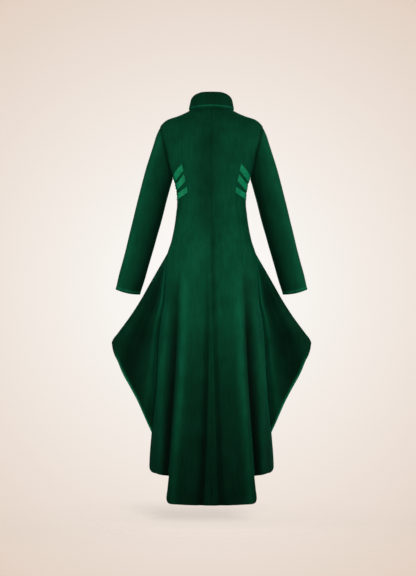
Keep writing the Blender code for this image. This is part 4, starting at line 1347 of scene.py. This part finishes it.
def make_button(index, materials):
    """A covered button: a domed profile turned round its own middle line.

    The profile runs from the middle of the back round the rim to the middle of the
    dome, and the rim's radius has shallow gathers at the back.
    """
    height = np.array([BUTTON_HEIGHTS[index]])
    centre = coat_point(np.array([np.pi]), height, -1)[0]
    out = coat_normal(np.array([np.pi]), height, -1)[0]
    across = np.array([1.0, 0.0, 0.0])
    up = np.cross(out, across)
    around = height + np.array([-1.3, -0.7, 0.0, 0.7, 1.3]) * BUTTON_RADIUS
    rise = np.max((coat_point(np.full(5, np.pi), around, -1) - centre) @ out)
    bottom = rise + BUTTON_LIFT
    bend = np.linspace(0.0, np.pi, 19)[:, None]
    turn = angles(48)[None, :]
    reach = np.sin(bend) ** 0.55
    gather = 1.0 + 0.012 * np.sin(turn * 12.0) * ease(-np.cos(bend), -0.2, 0.8)
    radius = BUTTON_RADIUS * reach * gather
    lift = bottom + BUTTON_THICK * (0.5 - 0.5 * np.sign(np.cos(bend)) * np.abs(np.cos(bend)) ** 0.8)
    points = moved(moved(centre, out, lift), across, radius * np.cos(turn))
    points = moved(points, up, radius * np.sin(turn))
    rows, columns = points.shape[:2]
    quads = grid_quads(rows, columns + 1)
    corners = ring_corners(rows, columns)[quads]
    plan = joined(shares(columns + 1)[None, :], shares(rows)[:, None]).reshape(-1, 2)[quads]
    made = make_piece(f"covered_button_{index + 1}", points.reshape(-1, 3), corners, plan, materials)
    close_poles(made)
    places = np.zeros(len(made.data.vertices) * 3, np.float32)
    made.data.vertices.foreach_get("co", places)
    risen = ((places.reshape(-1, 3) - centre) @ out - bottom) / BUTTON_THICK
    # Painted highlight on the top of the dome and painted shade at the rim.
    write_painted_light(made, 0.35 + 1.5 * ease(risen, 0.35, 1.0))
    return made


def close_poles(piece):
    """Merge each ring of points that lie on one spot, and turn the faces outward."""
    shape = bmesh.new()
    shape.from_mesh(piece.data)
    bmesh.ops.remove_doubles(shape, verts=list(shape.verts), dist=1e-5)
    bmesh.ops.recalc_face_normals(shape, faces=list(shape.faces))
    shape.to_mesh(piece.data)
    shape.free()


def along_line(at, walked, values):
    """Values of a line's points at distances walked along it."""
    return np.stack([np.interp(at, walked, values[:, i]) for i in range(3)], axis=-1)


def make_stitches(name, line, normal, materials):
    """A row of short stitches round a closed line, each a thin six-sided spindle.

    One spindle's points are turned to the line's direction at each stitch's place.
    """
    closed = np.concatenate([line, line[:1]])
    walked = np.concatenate([[0.0], np.cumsum(np.linalg.norm(np.diff(closed, axis=0), axis=1))])
    count = int(walked[-1] / STITCH_PITCH)
    at = (np.arange(count) + 0.5) * walked[-1] / count
    place = along_line(at, walked, closed)
    out = unit(along_line(at, walked, np.concatenate([normal, normal[:1]])))
    along = unit(along_line(np.mod(at + 0.001, walked[-1]), walked, closed) - place)
    beside = unit(np.cross(out, along))
    step = np.linspace(-0.5, 0.5, STITCH_RINGS)[:, None]
    turn = angles(STITCH_SIDES)[None, :]
    radius = STITCH_THICK / 2.0 * np.sqrt(np.clip(1.0 - (2.0 * step) ** 4, 0.0, 1.0)) + 1e-6
    shape = (step * STITCH_LENGTH + np.zeros_like(turn), radius * np.cos(turn),
             radius * np.sin(turn) - 0.0002 * (2.0 * step) ** 2)
    points = place[:, None, None]
    for axis, reach in zip((along, beside, out), shape):
        points = moved(points, axis[:, None, None], reach[None])
    quads = ring_corners(STITCH_RINGS, STITCH_SIDES)[grid_quads(STITCH_RINGS, STITCH_SIDES + 1)]
    first = STITCH_RINGS * STITCH_SIDES * np.arange(count)
    corners = (quads[None] + first[:, None, None]).reshape(-1, 4)
    made = make_piece(name, points.reshape(-1, 3), corners, np.zeros(corners.shape + (2,)), materials)
    close_poles(made)
    return made


def dress(piece, nodes):
    """The piece stands for its solids: it hangs from the root and hides them."""
    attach(piece, "root")
    if nodes:
        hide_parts(*nodes)
    return piece


def set_inputs(made, values):
    """Set a shader node's sockets by name, with _ for each space."""
    for name, value in values.items():
        made.inputs[name.replace("_", " ")].default_value = value


def node(tree, kind, place, operation=None, **values):
    """A shader node at a place on the page, with its sockets' values by name."""
    made = tree.nodes.new("ShaderNode" + kind)
    made.location = place
    if operation:
        made.operation = operation
    set_inputs(made, values)
    return made


def link(tree, *pairs):
    """Join sockets: a node and its output, then the next node and its input."""
    for start, output, end, target in pairs:
        tree.links.new(start.outputs[output], end.inputs[target])


def new_material(name, **values):
    """A material, its tree and its main shader with the sockets' values by name."""
    material = bpy.data.materials.new(name)
    material.use_nodes = True
    shader = material.node_tree.nodes["Principled BSDF"]
    set_inputs(shader, values)
    return material, material.node_tree, shader


def add_bump(tree, place, source, target, **values):
    """A bump whose height is the source's grey value, joined to the target's normal."""
    bump = node(tree, "Bump", place, **values)
    link(tree, (source, "Fac", bump, "Height"), (bump, "Normal", target, "Normal"))
    return bump


def colour_steps(tree, place, steps):
    """A colour ramp with a colour at each position."""
    ramp = node(tree, "ValToRGB", place)
    while len(ramp.color_ramp.elements) < len(steps):
        ramp.color_ramp.elements.new(0.5)
    for element, (position, colour) in zip(ramp.color_ramp.elements, steps):
        element.position = position
        element.color = (*colour, 1.0)
    return ramp


def tone_by_painted_light(tree, ramp, shader):
    """The base colour is the ramp's colour times the piece's own painted shade and highlight."""
    painted_light = node(tree, "Attribute", (-560, 320))
    painted_light.attribute_name = "painted_light"
    toned = node(tree, "VectorMath", (-240, 200), "SCALE")
    link(tree, (ramp, "Color", toned, 0), (painted_light, "Fac", toned, "Scale"),
         (toned, "Vector", shader, "Base Color"))


def velvet_material():
    """Cut velvet: mottled deep green, brushed down, with a soft pile and sheen; its base colour carries
    painted shade and highlight.
    """
    material, tree, shader = new_material(
        "velvet_pile", Roughness=0.85, Specular_IOR_Level=0.03,
        Sheen_Weight=0.07, Sheen_Roughness=0.42, Sheen_Tint=VELVET_SHEEN)
    place = node(tree, "TexCoord", (-1400, 0))
    brushed = node(tree, "Mapping", (-1200, 200), Scale=(1.0, 1.0, 0.16))
    streaks = node(tree, "TexNoise", (-1000, 200), Scale=90.0, Detail=3.0, Roughness=0.6)
    patches = node(tree, "TexNoise", (-1000, 0), Scale=14.0, Detail=3.0, Roughness=0.55)
    pile_and_painted_light = node(tree, "TexNoise", (-1000, -200), Scale=1100.0, Detail=2.0, Roughness=0.6)
    both = node(tree, "Mix", (-780, 100), Factor=0.55)
    ramp = colour_steps(tree, (-560, 100), ((0.35, VELVET_DARK), (0.65, VELVET_LIGHT)))
    link(tree,
         (place, "Object", brushed, "Vector"), (brushed, "Vector", streaks, "Vector"),
         (place, "Object", patches, "Vector"), (place, "Object", pile_and_painted_light, "Vector"),
         (streaks, "Fac", both, 2), (patches, "Fac", both, 3), (both, 0, ramp, "Fac"))
    tone_by_painted_light(tree, ramp, shader)
    fine = add_bump(tree, (-200, -240), pile_and_painted_light, shader, Strength=0.30, Distance=0.0004)
    add_bump(tree, (-400, -320), streaks, fine, Strength=0.35, Distance=0.0012)
    return material


def backing_material():
    """The velvet's wrong side: a plain close weave without pile."""
    material, tree, shader = new_material("velvet_wrong_side", Roughness=0.85, Specular_IOR_Level=0.15)
    place = node(tree, "TexCoord", (-1000, 0))
    weave = node(tree, "TexChecker", (-760, 100), Scale=900.0,
                 Color1=WRONG_SIDE_DARK, Color2=WRONG_SIDE_LIGHT)
    thread = node(tree, "TexNoise", (-760, -120), Scale=700.0, Detail=2.0)
    link(tree, (place, "UV", weave, "Vector"), (place, "Object", thread, "Vector"),
         (weave, "Color", shader, "Base Color"))
    add_bump(tree, (-400, -160), thread, shader, Strength=0.25, Distance=0.0003)
    return material


def satin_material():
    """Satin ribbon with fine threads along it, lighter where its painted sheen value is high."""
    material, tree, shader = new_material("satin_ribbon", Roughness=0.46, Specular_IOR_Level=0.06)
    place = node(tree, "TexCoord", (-1200, 0))
    along = node(tree, "Mapping", (-1000, 100), Scale=(60.0, 1800.0, 1.0))
    threads = node(tree, "TexNoise", (-780, 100), Scale=1.0, Detail=2.0, Roughness=0.6)
    patches = node(tree, "TexNoise", (-780, -120), Scale=60.0, Detail=2.0)
    ramp = colour_steps(tree, (-520, 100), ((0.3, SATIN_DARK), (0.7, SATIN_LIGHT)))
    link(tree, (place, "UV", along, "Vector"), (along, "Vector", threads, "Vector"),
         (place, "Object", patches, "Vector"), (patches, "Fac", ramp, "Fac"))
    tone_by_painted_light(tree, ramp, shader)
    add_bump(tree, (-300, -160), threads, shader, Strength=0.2, Distance=0.0002)
    return material


def thread_material():
    """Sewing thread in the cloth's green: two plies twisted round each other."""
    material, tree, shader = new_material("sewing_thread", Base_Color=THREAD, Roughness=0.55)
    place = node(tree, "TexCoord", (-800, 0))
    ply = node(tree, "TexWave", (-600, 0), Scale=700.0, Distortion=1.0)
    link(tree, (place, "Object", ply, "Vector"))
    add_bump(tree, (-300, -100), ply, shader, Strength=0.3, Distance=0.0002)
    return material


def aim(thing, target):
    """Turn a lamp or the camera from its place to look at a point."""
    thing.rotation_euler = (Vector(target) - thing.location).to_track_quat("-Z", "Y").to_euler()


def add_camera():
    """A level camera behind the coat, framed as the photograph is: 3.65 mm to a pixel."""
    data = bpy.data.cameras.new("camera")
    data.sensor_fit = "VERTICAL"
    data.sensor_width = SENSOR
    data.sensor_height = SENSOR
    data.lens = SENSOR * CAMERA_AWAY / (PICTURE_HEIGHT * PIXEL)
    data.clip_end = 60.0
    camera = add_object("camera", data, (CAMERA_ACROSS, CAMERA_AWAY, CAMERA_HEIGHT))
    aim(camera, (CAMERA_ACROSS, 0.0, CAMERA_HEIGHT))
    bpy.context.scene.camera = camera


def add_lamps():
    """Large soft lamps behind, before, at both sides of and above the coat."""
    for row in LAMPS:
        values = dict(zip(LAMP_COLUMNS, row))
        data = bpy.data.lights.new(values["name"], "AREA")
        data.shape = "DISK"
        data.size = values["size"]
        data.spread = np.radians(values["spread"])
        data.energy = values["power"]
        data.color = LAMP_COLOUR
        lamp = add_object(values["name"], data, (values["x"], values["y"], values["z"]))
        aim(lamp, (0.0, 0.0, values["aim_z"]))


def from_srgb(red, green, blue):
    """Linear light of a display colour given as 0 to 255."""
    share = np.array([red, green, blue]) / 255.0
    return tuple(np.where(share <= 0.04045, share / 12.92, ((share + 0.055) / 1.055) ** 2.4))


def add_floor():
    """A pale round floor that fades into the backdrop at its edge."""
    mesh = bpy.data.meshes.new("floor")
    turn = angles(96)
    rim = joined(np.cos(turn), np.sin(turn), 0.0) * FLOOR_RADIUS
    mesh.from_pydata(rim.tolist(), [], [list(range(len(rim)))])
    floor = add_object("floor", mesh, (0.0, 0.0, FLOOR_HEIGHT))
    material, tree, _ = new_material("pale_floor")
    tree.nodes.clear()
    place = node(tree, "TexCoord", (-900, 0))
    reach = node(tree, "VectorMath", (-700, 0), "LENGTH")
    fade = node(tree, "MapRange", (-500, 0),
                From_Min=0.30, From_Max=FLOOR_RADIUS, To_Min=0.30, To_Max=0.0)
    fade.interpolation_type = "SMOOTHSTEP"
    clear = node(tree, "BsdfTransparent", (-300, 100))
    pale = node(tree, "BsdfDiffuse", (-300, -100), Color=(0.93, 0.86, 0.80, 1.0), Roughness=1.0)
    mix = node(tree, "MixShader", (0, 0))
    output = node(tree, "OutputMaterial", (200, 0))
    link(tree, (place, "Object", reach, 0), (reach, "Value", fade, "Value"),
         (fade, "Result", mix, "Fac"), (clear, "BSDF", mix, 1), (pale, "BSDF", mix, 2),
         (mix, "Shader", output, "Surface"))
    mesh.materials.append(material)


def add_backdrop():
    """A pale warm backdrop, lighter behind the coat, and a little even light from all round."""
    world = bpy.data.worlds.new("studio")
    world.use_nodes = True
    tree = world.node_tree
    tree.nodes.clear()
    place = node(tree, "TexCoord", (-1400, 0))
    only_aside = node(tree, "VectorMath", (-1200, 0), "MULTIPLY")
    only_aside.inputs[1].default_value = (1.0, 0.0, 1.0)
    reach = node(tree, "VectorMath", (-1000, 0), "LENGTH")
    scaled = node(tree, "Math", (-800, 0), "MULTIPLY")
    scaled.inputs[1].default_value = CAMERA_AWAY / (BACKDROP_REACH * PIXEL)
    ramp = colour_steps(tree, (-600, 0), [(away, from_srgb(*colour)) for away, colour in BACKDROP])
    seen = node(tree, "Background", (-300, 100), Strength=1.0)
    around = node(tree, "Background", (-300, -100), Strength=0.10, Color=(1.0, 0.95, 0.90, 1.0))
    path = node(tree, "LightPath", (-300, 400))
    mix = node(tree, "MixShader", (0, 0))
    output = node(tree, "OutputWorld", (200, 0))
    link(tree, (place, "Generated", only_aside, 0), (only_aside, "Vector", reach, 0),
         (reach, "Value", scaled, 0), (scaled, "Value", ramp, "Fac"), (ramp, "Color", seen, "Color"),
         (path, "Is Camera Ray", mix, "Fac"), (around, "Background", mix, 1),
         (seen, "Background", mix, 2), (mix, "Shader", output, "Surface"))
    bpy.context.scene.world = world
    bpy.context.scene.view_settings.view_transform = "Standard"


PANELS = {
    "back": make_back,
    "side_back": make_side_back,
    "side_front": make_side_front,
    "front": make_front,
}


def make_side(side, cloth, satin, thread):
    """One side's panels, sleeve with its cuff stitches, and bands."""
    label = LABELS[side]
    for name, make in PANELS.items():
        dress(make(side, cloth), [f"{name}_{label}"])
    sleeve, line, out = make_sleeve(side, cloth)
    dress(sleeve, [f"sleeve_{label}"])
    stitches = dress(make_stitches(f"cuff_stitches_{label}", line, out, thread), [])
    for index in range(len(BANDS["back"])):
        band = dress(make_band(index, side, satin), [f"band_{label}_{index + 1}"])


def main():
    add_camera()
    velvet = velvet_material()
    cloth = (velvet, backing_material())
    satin = (satin_material(),)
    thread = (thread_material(),)
    for side in LABELS:
        make_side(side, cloth, satin, thread)
    stand = dress(make_collar_stand((velvet,)), ["collar_stand"])
    fall = dress(make_collar_fall((velvet,)), ["collar_fall"])
    for index in range(len(BUTTON_HEIGHTS)):
        dress(make_button(index, (velvet,)), [f"button_{index + 1}"])
    add_lamps()
    add_backdrop()
    add_floor()
    bpy.context.view_layer.update()


main()
